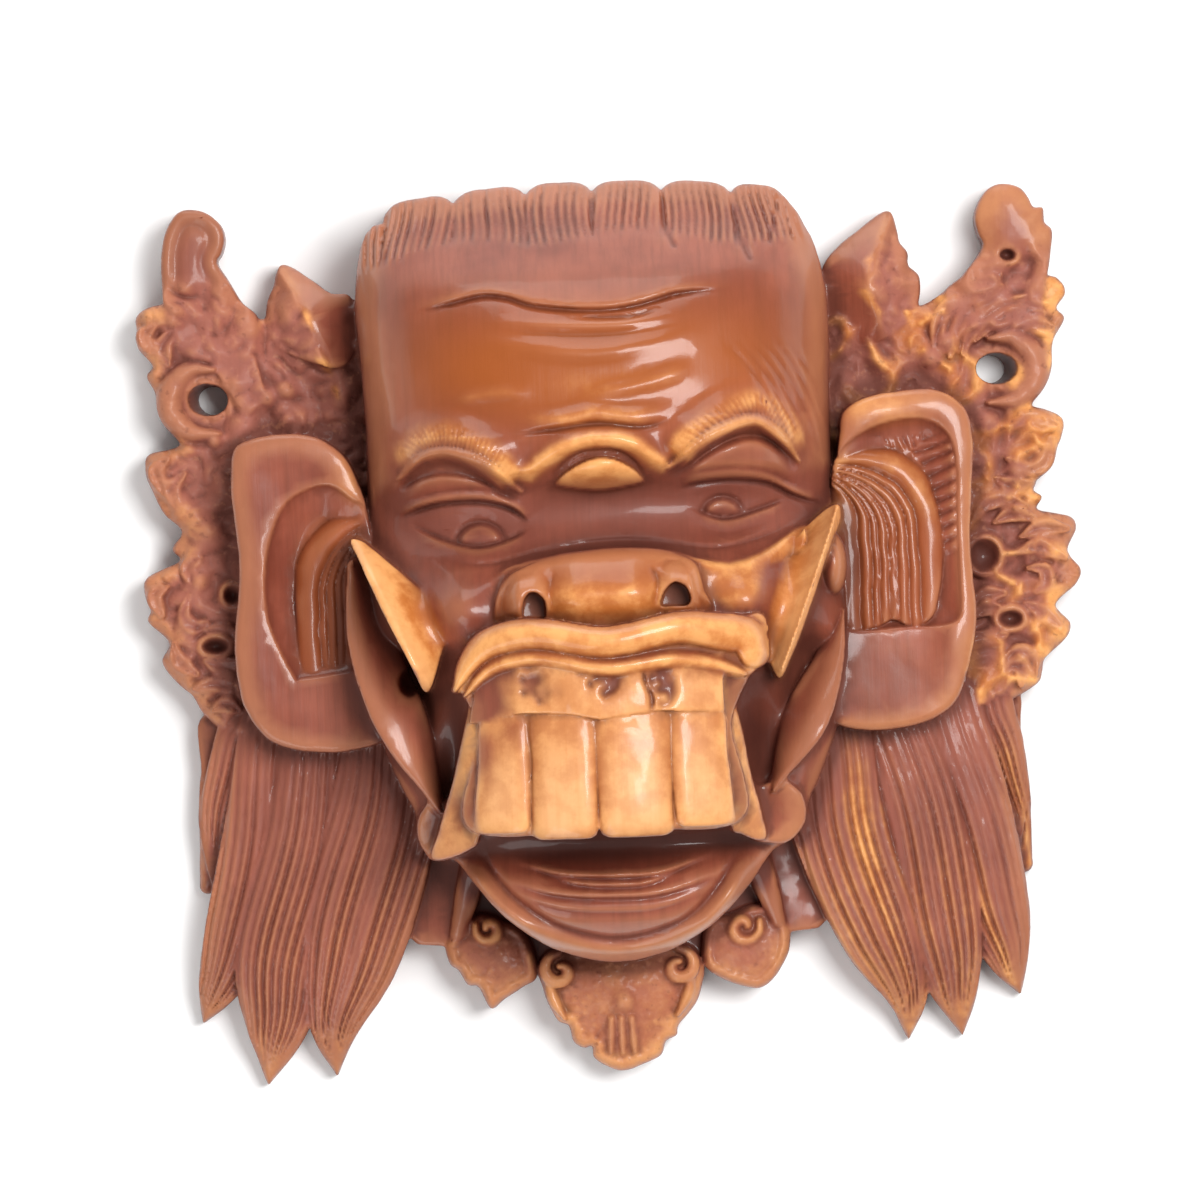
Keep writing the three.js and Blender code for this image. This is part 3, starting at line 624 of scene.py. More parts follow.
def carve_forehead(face):
    """Soft rolls of frowning skin, lumps above the nose and faint strokes at the temples."""
    x, y = FULL_X, FULL_Y
    frown = [(-58, 102.5), (-45, 105.5), (-35, 107.5), (-27, 106.5), (-18, 103.5), (0, 101.5), (12, 102.3)]
    frown += [(20, 104.2), (28, 106), (46, 106.5)]
    face.fold(frown, 1.8, 10)
    face.groove(frown, 0.7, 1.4, fade=0.12)
    face.groove([(-10, 99.7), (4, 98.8), (14, 99.4), (23, 102.5)], 0.7, 1.3, fade=0.3)
    face.swell([(-40, 99.3), (-20, 97.6), (0, 96.3), (15, 96.8), (38, 100.5)], 2.2, 1.7, fade=0.4)
    face.groove([(-40, 97), (-14, 94.2), (8, 93.8), (38, 98)], 2.2, 0.9, fade=0.35)
    face.swell([(-40, 93.5), (-10, 88.5), (8, 88.5), (40, 95)], 3.6, 2.2, fade=0.4)
    face.swell([(-32, 69), (-12, 67.5), (0, 69), (12, 67.5), (29, 71)], 3.0, 2.4, gilt=0.6)
    face.swell([(-48, 73.5), (-33, 76.3), (-18, 75.3)], 2.4, 1.2, gilt=0.3)
    face.swell([(-6, 74.5), (14, 77.3), (34, 83)], 2.6, 1.4, gilt=0.4)
    face.groove([(-33, 62), (-14, 64.2), (0, 65.5), (14, 64), (25, 66.5)], 0.9, 1.6, fade=0.25)
    face.swell([(-70, 112), (-69, 90), (-66, 74), (-63, 58)], 3.6, 1.8)
    face.z += 0.5 * soft_large * mound(x, y, 3, 72, 28, 6)
    for shift in range(0, 22, 4):
        upper = [(38 + shift, 93), (49 + 0.9 * shift, 80)]
        lower = [(58 + 0.75 * shift, 64), (65 + 0.5 * shift, 46)]
        face.groove(upper + lower, 0.9, 0.7, fade=0.3)
    face.stain_and_light["amber"] = np.clip(1.3 * mound(x, y, 0, 84, 72, 20), 0, 1)
    face.brush("gilt", (slice(None), slice(None)), 0.4 * mound(x, y, 4, 78, 24, 6))
    eyes = mound(x, y, -43, 38, 34, 15) + mound(x, y, 43, 42, 34, 15) + mound(x, y, 0, 36, 30, 10)
    eye_band = np.clip(eyes, 0, 1)
    face.stain_and_light["dark"] = eye_band * 0.1
    face.stain_and_light["matte"] = eye_band * 0.5


def carve_hair(face):
    """Combed tufts over the forehead, parted by fine uneven lines."""
    x, y = FULL_X, FULL_Y
    start = 123 + 1.8 * np.sin(x / 9.0) - 0.0011 * x * x
    hair = ease(0, 4.5, y - start)
    notches = np.array(HAIR_NOTCHES, float)
    lean = x - 0.14 * (132 - y) * np.sign(x) * ease(10, 60, np.abs(x))
    i = np.clip(np.searchsorted(notches, lean) - 1, 0, len(notches) - 2)
    u = np.clip((lean - notches[i]) / (notches[i + 1] - notches[i]), 0, 1)
    tuft = -1.4 * np.abs(2 * u - 1) ** 8
    count = np.round((notches[1:] - notches[:-1]) / 2.5)
    phase = u * count[i] + 0.3 * np.sin((y - 120) / 5 + 1.7 * i)
    line = bell(phase - np.round(phase), STROKE)
    deep = 0.7 + 1.5 * dice.random(400)[(i * 23 + np.round(phase)).astype(int) % 400]
    face.z += hair * (tuft + 0.6 - deep * line)
    face.groove([(23, 141), (23.5, 132), (24.5, 125), (27, 119.5)], 0.9, 1.6, fade=0.1)
    face.groove([(45, 139), (46.5, 128), (48, 121), (50.5, 114.5)], 0.9, 1.6, fade=0.1)
    face.groove([(60, 137), (58.5, 129), (56, 120)], 0.9, 1.2, fade=0.1)


def carve_brow(face, side):
    """A brow that grows out of the forehead, with slanting strokes over a smooth rim above the eye."""
    s = side.s
    band = Band(mirror(s, side.brow), [3, 5.5, 6, 6, 5.5, 4], margin=10)
    down = -band.above / band.width
    ends = band.ends(0.12, 0.1)
    rise = ease(-1.9, 0.1, down) * (1 - ease(0.75, 1.15, down))
    zone = ease(-0.95, -0.45, down) * (1 - ease(0.4, 0.65, down)) * ease(0.02, 0.16, band.t)
    zone = zone * (1 - ease(0.8, 0.95, band.t))
    phase = band.t * 31 + 0.8 * s * down
    line = bell(phase - np.round(phase), STROKE)
    face.z[band.place] += ends * (5.5 * rise - 0.65 * line * zone)
    # Gold along the brow's upper slope is partly a painted highlight; the strokes' grooves get painted shade.
    edge = bell(down + 0.4, 0.6)
    gold = 0.95 * edge * (1 - 0.6 * line) + 0.6 * ease(0.72, 0.95, band.t) * rise
    face.brush("gilt", band.place, ends * gold)
    face.brush("dark", band.place, 0.3 * ends * line * zone)
    rim = Band(mirror(s, side.brow_rim), [0.8, 2.2, 2.6, 2.6, 2.2, 1])
    roll = np.clip(1 - rim.u**2, 0, 1)
    face.z[rim.place] += 2.4 * roll
    face.brush("gilt", rim.place, side.brow_gold * ease(0, 0.7, roll))
    under = [(px, py - 3.8) for px, py in side.brow_rim]
    face.groove(mirror(s, under), 2.0, 3.2, fade=0.12)


def carve_eye(face, side):
    """A full upper lid, the sharp line of the lid, a lower lid and half an iris."""
    s, (ex, ey) = side.s, side.eye
    x, y = FULL_X, FULL_Y
    face.z += 6.5 * mound(x, y, s * ex, ey + 2, 21, 10)
    lid = Band(mirror(s, side.upper_lid), [16] * 2)
    ends = lid.ends(0.25, 0.2)
    over = ease(-0.5, 0.6, lid.above) * np.exp(-np.maximum(lid.above, 0) / 9)
    crease = bell(lid.above + 0.8, 0.8)
    face.z[lid.place] += ends * (3.4 * over - 2.1 * crease)
    # Painted shade in the crease under the lid's edge.
    face.brush("dark", lid.place, 0.8 * ends * crease)
    face.groove(mirror(s, side.lid_fold), 1.0, 1.8, fade=0.2)
    face.groove(mirror(s, [(px, py + 3) for px, py in side.upper_lid]), 0.8, 0.8, fade=0.3)
    low = Band(mirror(s, side.lower_lid), [9] * 2)
    under = ease(-0.8, 0.8, -low.above) * np.exp(-np.maximum(-low.above, 0) / 3.5)
    crease = bell(low.above - 0.7, 0.8)
    face.z[low.place] += low.ends(0.25, 0.25) * (2.2 * under - 1.3 * crease)
    bag = [(px, py - 4.2) for px, py in side.lower_lid]
    face.groove(mirror(s, bag), 1.4, 0.6, fade=0.35)
    cx, cy, r = side.iris
    far = np.hypot(x - s * cx, (y - cy) * 1.25)
    upper = ease(-2.0, 2.0, y - cy)
    face.z += 2.2 * (1 - ease(r - 2.4, r, far)) * upper
    face.z -= 1.2 * bell(far - r - 0.3, 0.9) * upper


def carve_boss(face):
    """The almond boss above the nose and the arch that joins the brows over it."""
    arch = [(-27, 47), (-20, 52.5), (-10, 58.8), (0, 60.8), (10, 59), (18, 53), (23, 51)]
    face.swell(arch, 3.3, 5.0, gilt=0.8, fade=0.12)
    face.groove([(-16, 49), (-8, 55.6), (0, 57.3), (8, 55.8), (15, 49)], 0.8, 2.2, fade=0.15)
    outline = [(-13.5, 47.5), (-7, 52.6), (0, 54.6), (7, 53), (13.3, 47.5), (7, 45.6), (0, 45), (-7, 45.6)]
    boss = Plate(curve(outline, 60, closed=True), (0, 49.5))
    dome = head_height(boss.x, boss.y) + 3.5 + 5.5 * np.sqrt(np.clip(1 - 0.9 * boss.r**2, 0, 1))
    dome = dome - 4 * np.clip(boss.side, 0, 9)
    face.z[boss.place] = soft_max(face.z[boss.place], dome, 0.8)
    inside = 1 - ease(-0.5, 1, boss.side)
    # Gold paler towards the top of the boss: a painted highlight.
    face.brush("gilt", boss.place, inside * (0.35 + 0.6 * ease(46.5, 52, boss.y)))
    face.brush("amber", boss.place, inside)


def carve_cheeks(face):
    """Full cheeks under a fold that runs across the face below the eyes."""
    for s in (-1, 1):
        face.z += 5 * mound(FULL_X, FULL_Y, s * 50, 7, 12, 11)
    line = [(66, 37), (50, 29), (35, 26), (15, 29), (0, 29.5), (-20, 27), (-40, 23.5), (-64, 30)]
    face.fold(line, 1.0, 8, fade=0.2)


def carve_chin(face):
    """The lower jaw under the teeth: narrow folds, a smooth lip and a rim along its edge."""
    rim = [(-47, -70), (-41, -80), (-33, -88.5), (-20, -96.5), (0, -101.2), (20, -97), (32, -88.5), (45, -71)]
    face.swell(rim, 2.6, 4.6, gilt=0.25, fade=0.1)
    face.groove([(px * 0.93, py + 4.6) for px, py in rim], 1.3, 2.0, fade=0.1)
    for level, reach, rise in ((-74.5, 35, 2.2), (-77.5, 26, 1.6), (-81, 36, 1.6), (-85.5, 33, 0.8)):
        sag = [(-1, 5.5), (-0.5, 0.2), (0.05, -1.2), (0.45, -0.2), (1, 6)]
        face.fold([(u * reach, level - 1.2 + dy) for u, dy in sag], rise, 2.2, fade=0.25)
    face.z += 0.7 * soft_large * mound(FULL_X, FULL_Y, 0, -77, 30, 5)


# Nose, lips and teeth


def tooth_arch(x):
    """The height of the teeth and lips, which bow back to both sides."""
    return 115 - 0.0075 * x * x


def add_nose(wood):
    """A broad nose: a wide tip between two wings that are pierced by the nostrils."""
    ledge = [
        (-48, 10), (-38, 16.5), (-29, 22), (-15, 24.5), (0, 26), (18, 25.2), (30, 22.3), (40, 20.3), (50, 23),
        (64, 31), (60, 14), (54, 0), (30, -3), (0, -4), (-30, -3), (-48, 0),
    ]
    snout = Plate(curve(ledge, 100, closed=True))
    right = ease(24, 34, snout.x)
    glow = 0.15 + 0.55 * right * ease(0, 10, snout.y)
    fall = 0.0042 * snout.x**2 + 0.9 * np.maximum(snout.x - 46, 0)
    wood.add(snout, 99 - fall, floor=50, rounding=5.0, blend=4.0, gilt=glow)
    outline = [
        (-34, 2), (-34.5, 10), (-31.5, 17.5), (-25, 21.5), (-15, 24.5), (0, 26), (14, 25.6), (23, 23.8),
        (29, 20.5), (31, 13), (33, 5), (20, 0), (0, -2), (-20, 0),
    ]
    nose = Plate(curve(outline, 100, closed=True))
    x, y = nose.x, nose.y
    out = np.abs(x)
    top = stations([(31, 92), (25, 102), (20, 107.5), (13, 112), (8, 111), (4, 107.5), (-2, 101)], y)
    top = top - 4.4 * ease(8, 20, out) - 6.0 * ease(26, 34, out)
    top = top + 3.2 * np.exp(-(((out - 24.5) / 6.0) ** 4) - ((y - 12.5) / 8) ** 4)
    folds = (
        ([(-15, 20), (-17.3, 14), (-16, 7)], 0.6), ([(14.5, 21), (16.8, 15), (15, 7)], 1.2),
        ([(-33, 5), (-31.5, 13), (-27.5, 18.5), (-21, 20.5)], 1.0),
        ([(17, 19), (20.5, 21.8), (25, 21), (28, 16.5), (29.5, 9.5), (34, 5.5)], 1.4),
    )
    for spine, depth in folds:
        crease = Band(spine, [3] * 2, place=nose.place)
        top = top - depth * crease.ends(0.25, 0.2) * bell(crease.away, 0.9)
    # shine: a painted highlight across the nose tip, given as gold, with a little more gold towards the
    # right.
    shine = np.exp(-((x / 19) ** 4) - ((y - 9.5) / 7) ** 2)
    gold = 0.1 + 0.8 * shine + 0.1 * ease(8, 22, x)
    wood.add(nose, top, floor=60, rounding=3.5, blend=1.6, gilt=gold, amber=0.8)
    nostrils = (
        [(-25.5, 5.5), (-25.5, 10), (-24, 13), (-21.5, 13.4), (-19, 11), (-18.6, 7), (-20, 5)],
        [(17.5, 8), (19, 12.5), (22, 15), (25.5, 13.5), (26.8, 9.5), (25.5, 7.6), (21, 7.6)],
    )
    for outline in nostrils:
        nostril = Plate(curve(outline, 50, closed=True))
        wood.cut(nostril, np.full(nostril.x.shape, 130.0), floor=101, blend=1.4)
        # No gold inside the nostrils, and painted shade there.
        wood.tint("gilt", outline, 0.0, 0.8)
        wood.tint("dark", outline, 0.35, 0.8)


def add_lips(wood):
    """The upper lip: two rolls, one over the other, on a bed in front of the teeth."""
    first = [(-48, -16), (-43.5, -8), (-36, -1.6), (-22, 0.4), (0, -3), (22, 0.6), (35, -1)]
    first += [(43.5, -3), (46, -8)]
    second = [(-45, -18), (-38, -10.5), (-30, -7.4), (-20, -7), (0, -10.8), (20, -9), (33, -10.7)]
    second += [(43, -14.5)]
    bed = [(-48, -17), (-44, -6), (-36, 2), (-22, 4.5), (0, 1), (22, 4.5), (38, 3), (49, 4), (50, -5)]
    bed += [(43, -15.5), (20, -12), (0, -13.5), (-20, -9.8), (-30, -10), (-38, -13.5)]
    base = Plate(curve(bed, 110, closed=True))
    wood.add(base, tooth_arch(base.x) + 0.8, floor=70, rounding=2.0, blend=1.0, gilt=0.45)
    rolls = (
        (second, [0.8, 2.6, 3.1, 3.2, 3.2, 3.2, 3, 1.2], 3.6, 0.8),
        (first, [1.2, 3.4, 4.8, 5.0, 4.9, 5.0, 5.8, 6.2, 5], 6.0, 1.0),
    )
    for spine, half, rise, gilt in rolls:
        roll = Band(spine, half, 60)
        bow = np.sqrt(np.clip(1 - 0.96 * roll.u**2, 0.02, 1))
        up = roll.above / roll.width
        shade = 0.75 * ease(-0.1, 1.0, up) + 0.3 * ease(0.3, 1.0, -up)
        top = tooth_arch(roll.x) + rise - 6 + 6 * bow
        wood.add(roll, top, floor=70, rounding=0.5, blend=0.5, gilt=gilt - shade)


def add_teeth(wood):
    """Four broad teeth set close together under a gum that is chipped and stained."""
    backing = [(-45, -8), (-41, -30), (-45, -60), (0, -61), (40, -60), (38, -30), (43, -8), (0, -2)]
    rear = Plate(curve(backing, 80, closed=True))
    # The backing shows between the teeth; its dark is painted shade.
    wood.add(rear, tooth_arch(rear.x) - 1.5, floor=50, blend=1.0, gilt=0.2, dark=0.4)
    for left, right, end in TEETH:
        middle, half = (left + right) / 2, (right - left) / 2
        pinch = 0.13 * middle
        outline = [
            (middle - half - pinch, -23), (middle + half - pinch, -23), (middle + half - 0.4 * pinch, -40),
            (middle + half, end + 4), (middle + half * 0.88, end + 0.8), (middle + half * 0.5, end),
            (middle - half * 0.5, end), (middle - half * 0.88, end + 0.8), (middle - half, end + 4),
            (middle - half - 0.4 * pinch, -40),
        ]
        tooth = Plate(curve(outline, 80, closed=True))
        x, y = tooth.x, tooth.y
        bulge = 2 - 2.0 * ((x - middle) / half) ** 4 - 2.0 * ((y + 45) / 20) ** 4
        pale = ease(-0.5, 5.5, -tooth.side) * (0.25 + 0.75 * ease(-27, -50, y))
        stained = 0.7 * mound(x, y, -41, -36, 4, 9) + 0.35 * mound(x, y, -30, -30, 5, 4)
        stains_and_light = dict(
            tooth=np.clip(0.12 + 0.88 * pale - 1.2 * stained, 0, 1),
            gilt=0.75 - stained,
            dark=0.5 * stained,
        )
        wood.add(tooth, tooth_arch(x) + bulge, floor=60, blend=0.1, **stains_and_light)
    gum = Plate(GUM_EDGE + [(36, -8), (-40, -8)])
    clean = ease(-34, -27, gum.x + 3 * soft_large[gum.place] - 0.4 * (gum.y + 18))
    pits = 0.0
    chips = (
        (-23, -14, 4.5, 6), (-5.5, -14, 1.5, 5), (0, -15, 4.5, 6), (12.6, -17, 0.9, 7), (17, -15, 3.5, 6),
    )
    for x, y, wide, tall in chips:
        across = gum.x - x + 0.2 * (gum.y - y) + 1.5 * soft_large[gum.place]
        along = gum.y - y + 2.0 * soft_large[gum.place] + 0.8 * soft_fine[gum.place]
        pits = np.maximum(pits, np.exp(-((across / wide) ** 2) - (along / tall) ** 4))
    pits = np.clip(pits * (1.0 + 0.6 * soft_fine[gum.place]), 0, 1)
    top = tooth_arch(gum.x) + 1.4 - 2.2 * pits - 1.6 * (1 - clean)
    stains_and_light = dict(
        gilt=0.9 * clean * (1 - pits),
        tooth=clean * (0.55 - 0.55 * pits),
        dark=0.6 * pits + 0.4 * (1 - clean),
    )
    wood.add(gum, top, floor=60, rounding=0.7, blend=0.2, **stains_and_light)


# Cheeks and jaw


def add_jaws(wood):
    """The straps of the jaw, the two bright cheek folds and the corners of the mouth."""
    for side in SIDES:
        s = side.s
        spine, half = side.jaw
        strap = Band(mirror(s, spine), half)
        top = evenly([52, 64, 74, 71], strap.t) - 2 * strap.u**2 + 3.5 * s * strap.u
        wood.add(strap, top, floor=20, rounding=1.6, blend=1.5)
        blade = Plate(curve(mirror(s, side.cheek_fold), 90, closed=True))
        crest = Band(mirror(s, side.cheek_crest), [30] * 2, place=blade.place)
        inward = crest.away
        reach = side.cheek_reach
        plane = evenly([73, 86, 94, 98, 94], crest.t) - 0.5 * np.clip(2 - inward, 0, 2)
        merge = np.clip(inward / reach, 0, 1) ** side.cheek_merge
        top = plane + (np.minimum(wood.front[blade.place], plane) - 1.5 - plane) * merge
        gold = 1.1 - 0.75 * ease(3, reach, inward)
        # pale: a painted highlight along the fold's crest, in ivory.
        pale = 0.5 * (1 - ease(2, 7, inward))
        shade = 0.4 * ease(reach - 6, reach, inward)
        wood.add(blade, top, floor=20, blend=2.5, gilt=gold, tooth=pale, amber=0.8, dark=shade)
        corner = Plate(curve(mirror(s, side.mouth_side), 70, closed=True))
        slope = 101.5 + 0.18 * (corner.y + 22) - 0.9 * (np.abs(corner.x) - side.mouth_edge)
        slope = slope - 5 * ease(-34, -22, corner.y)
        gold = 0.8 + 0.008 * (corner.y + 22)
        wood.add(corner, slope, floor=30, rounding=1.2, blend=1.0, gilt=gold)
        lobe = Plate(curve(mirror(s, side.lobe), 60, closed=True))
        wood.add(lobe, 67 + 0.3 * (lobe.y + 58), floor=30, rounding=2.0, blend=4.0, gilt=0.2)
    wood.ball((72.5, 19, 56), (4.5, 10, 14), blend=1.5, gilt=0.2)
    # Holes in the jaw straps, with painted shade inside.
    for side in SIDES:
        x, y, rx, ry = side.jaw_hole
        wood.ball((side.s * x, y, 76), (rx, ry, 20), blend=1.2, cut=True, dark=0.5)


def add_chin(wood):
    """Under the chin: a low apron, a panel and a ribbon a side, and three leaves with curled ends."""
    apron = Plate([(-56, -94), (-50, -66), (50, -66), (56, -94), (27, -106), (0, -108), (-27, -106)])
    # The low apron shows between the leaves; its dark is painted shade.
    wood.add(apron, 14.0, dark=0.3)
    for side in SIDES:
        s = side.s
        panel = Plate(mirror(s, [(44, -50), (74, -50), (69, -92), (64, -97), (54, -98), (44, -80)]))
        wood.add(panel, 20.0 - 0.12 * (np.abs(panel.x) - 44))
        ribbon = Band(mirror(s, [(45, -68), (47, -80), (51, -94)]), [3, 4, 2.5])
        wood.add(ribbon, 30 - 7 * ribbon.t - 2 * ribbon.u**2)
        leaf = Plate(curve(mirror(s, side.chin_leaf), 90, closed=True), (s * 41, -102))
        rim = 1.9 * (1 - ease(2.0, 4.0, -leaf.side))
        top = CHIN_LEAF_TOP + 6.5 * np.sqrt(np.clip(1 - leaf.r**2, 0, 1)) + rim
        wood.add(leaf, top + 0.4 * knobs_fine[leaf.place], rounding=1.6, gilt=0.3, matte=0.7)
        cx, cy, radius, start = side.chin_curl
        scroll = Band(curl(s * cx, cy, radius, start, 1.0, -s), [1.2, 2, 2, 1.4])
        wood.add(scroll, CHIN_LEAF_TOP + 9 - 2 * scroll.u**2, blend=1.5, gilt=0.4, matte=0.6)
    outline = [
        (-25.5, -108), (-24, -115), (-20.5, -123), (-17, -125), (-15.5, -130), (-12.5, -132.3), (-9.8, -132),
        (-9.3, -135.5), (-5, -138.5), (0, -140), (6, -138.3), (12, -135.5), (14, -131), (17.5, -129.3),
        (18.3, -126), (24, -119), (27, -109), (24, -103.5), (16, -100), (0, -98), (-16, -100), (-24, -103.5),
    ]
    leaf = Plate(curve(outline, 150, closed=True), (0, -116))
    rim = 1.7 * (1 - ease(2.0, 4.5, -leaf.side))
    top = CHIN_LEAF_TOP - 1 + 8 * np.sqrt(np.clip(1 - leaf.r**2, 0, 1)) + rim + 0.1 * (leaf.y + 116)
    wood.add(leaf, top + 0.5 * knobs_fine[leaf.place], rounding=1.6, gilt=0.42, matte=0.8)
    for s in (-1, 1):
        scroll = Band(curl(s * 19, -107, 5.6, 90, 1.0, -s), [1.4, 2.2, 2.2, 1.4])
        wood.add(scroll, CHIN_LEAF_TOP + 10 - 2 * scroll.u**2, blend=1.5, gilt=0.35, matte=0.6)
        edge = Band([(s * 23, -108), (s * 21.5, -116), (s * 18, -122.5)], [1.2, 2, 1])
        wood.add(edge, CHIN_LEAF_TOP + 7.5 - 2 * edge.u**2, gilt=0.4)
    wood.ball((1, -117.5, CHIN_LEAF_TOP + 5.5), (3.4, 3.8, 4), blend=2.0, gilt=0.3, matte=0.8)
    for x in (-3.2, 0, 3.2):
        stem = Band([(x, -123), (x * 1.1, -129), (x * 1.2, -134)], [1.2, 1.4, 0.8])
        top = CHIN_LEAF_TOP + 7.8 - 3 * stem.t - 1.5 * stem.u**2
        wood.add(stem, top, blend=1.5, gilt=0.28, matte=0.8)


# Ears


def add_flutes(wood, side):
    """The bundle in an ear: folds of uneven width that spring from its upper corner and turn down."""
    area = Plate(curve(mirror(side.s, side.flute_area), 100, closed=True))
    hub, level, stretch, height, folds = side.flutes
    across = np.maximum(np.abs(area.x) - 72, 0)
    gather = 1 + 3 * np.exp(-across / 5)
    fall = np.maximum(hub + (area.y - hub) * gather - level, 0) * stretch
    run = (across**2.4 + fall**2.4) ** (1 / 2.4) + 0.4 * soft_large[area.place]
    count = len(folds) - 1
    number = np.clip(np.searchsorted(folds, run) - 1, 0, count - 1)
    first, last = np.array(folds)[number], np.array(folds)[number + 1]
    along = np.clip((run - first) / (last - first), 0, 1)
    ribs = np.sin(np.pi * along) ** 0.6 * np.clip((last - first) / 4, 0.5, 1.4)
    dome = np.sin(np.pi * np.clip(run / folds[-1], 0, 1)) ** 0.7
    # Gold on the upper ribs is partly a painted highlight.
    gold = 0.08 + side.flute_gold * ease(10, 50, area.y) * ribs
    top = height + 3.5 * dome + 1.8 * ribs
    wood.add(area, top, floor=20, rounding=1.2, blend=0.3, gilt=gold, amber=0.55)


def add_ears(wood):
    """Broad ears: a smooth rim and lobe around a hollow that holds a fluted bundle."""
    for side in SIDES:
        s = side.s
        outer = mirror(s, side.ear)
        outline = [tuple(p) for p in curve(outer, 110)] + mirror(s, [(72, 30), (70, 0)])
        ear = Plate(outline)
        hollow = Plate(curve(mirror(s, side.ear_hollow), 110, closed=True), place=ear.place)
        edge = Band(outer, [12] * 2, 110, place=ear.place)
        inward = np.maximum(-hollow.side, 0)
        step = ease(-0.5, 0.7, -hollow.side)
        rim = side.ear_rim * bell(edge.away - 6, 5) * ease(-28, -6, ear.y)
        if side is LEFT:
            scoop = step * (1.6 + 0.62 * np.minimum(inward, 12))
            bright = 0.7 * mound(ear.x, ear.y, s * 79, 53, 5, 10)
            hatch = 0.0
        else:
            scoop = step * (1.2 + 5.0 * (1 - np.exp(-inward / 4)))
            bright = np.maximum(mound(ear.x, ear.y, s * 88, 68, 18, 6), 0.4 * bell(edge.away, 3))
            zone = ease(18, 26, ear.y) * (1 - ease(54, 61, ear.y)) * ease(0.3, 1.5, inward)
            hatch = 1.8 * zone * np.abs(np.sin(np.pi * (edge.t * 58 + 0.1 * inward)))
        top = EAR_TOP + 6 + rim - scoop + hatch - 0.03 * (np.abs(ear.x) - 95)
        # bright is a painted highlight near the top of the ear and, on the right, along its rim, in gold and
        # amber; the lobe is lighter too, on the right side as a painted sheen.
        gold = np.maximum(0.4 * bright + 0.06, side.lobe_gold * ease(2, -6, ear.y))
        wood.add(ear, top, rounding=2.5, blend=1.0, gilt=gold, amber=0.7 * bright)
        add_flutes(wood, side)


# Wings


def wing_growth(side):
    """The lumps of a wing on the grid, and its bright crests, soft on the left and sharp on the right."""
    if side is LEFT:
        growth = WING_TOP + 0.4 + 2.1 * leaves_large + 0.8 * leaves_fine + 0.25 * soft_fine
        return growth, 0.25 * leaves_large
    growth = WING_TOP - 0.8 + 1.9 * (2 - leaves_large) + 0.8 * (2 - leaves_fine)
    return growth, ease(0.9, 1.9, 2 - leaves_large)


def add_foliage(wood, side):
    """A wing of foliage smoothed by wear, with small ribs along its lobed edge."""
    outline = curve(mirror(side.s, side.wing + WING_INNER), 300, closed=True)
    wing = Plate(outline)
    growth, crests = wing_growth(side)
    edge = Band([tuple(p) for p in outline[:255]], [20] * 2, 180, place=wing.place)
    ribs = np.abs(np.sin(np.pi * (edge.t * 80 + 0.9 * soft_large[wing.place])))
    margin = 1 - ease(3, 9, -wing.side)
    top = growth[wing.place] + margin * (0.8 * ribs - 0.6) - 2.0 * ease(-3, 0.5, wing.side)
    # Gold along the edge from wear, and on the lumps' crests partly as a painted highlight.
    gold = 0.05 + 0.18 * margin + side.crest_gold * crests[wing.place]
    wood.add(wing, top, rounding=2.0, blend=0.6, gilt=gold, matte=1.0)


def add_horn(wood, side):
    """A smooth thumb-shaped tip that grows out of the foliage."""
    horn = Plate(curve(mirror(side.s, side.horn), 110, closed=True))
    inward = -horn.side
    thumb = ease(112, 120, horn.y)
    if side is LEFT:
        knob = 1.6 * (1 - ease(2.0, 5.5, inward)) + 1.3 * ease(4.0, 7.5, inward)
        glow = 0.06 * (1 - ease(2, 5, inward))
    else:
        knob = 2.2 * ease(0, 7, inward) + 0.4 * soft_large[horn.place]
        glow = 0.2
    root = wing_growth(side)[0][horn.place] + 1.5
    top = root + (WING_TOP + 3.0 + knob - root) * thumb
    shade = side.horn_shade * thumb
    wood.add(horn, top, rounding=2.5, blend=1.0, gilt=0.06 + thumb * glow, matte=1 - 0.5 * thumb, dark=shade)


def add_leaf(wood, side):
    """A pointed leaf beside the head, smooth on the inner side of its ridge and rough on the outer."""
    s = side.s
    leaf = Plate(curve(mirror(s, side.leaf), 90, closed=True))
    ridge = Band(mirror(s, side.leaf_ridge), [20] * 2, place=leaf.place)
    outer = ease(-0.5, 2.0, s * ridge.left)
    lumpy = 1.3 * leaves_large[leaf.place] + 0.7 * leaves_fine[leaf.place] - 1.2
    roof = evenly([15, 24, 29, 26], ridge.t) - 0.55 * np.maximum(ridge.away - 1, 0)
    top = roof + 0.2 * soft_large[leaf.place] + outer * lumpy
    gold = 0.05 + 0.25 * bell(ridge.away, 1.5)
    wood.add(leaf, top, rounding=1.5, blend=1.0, gilt=gold, matte=outer)


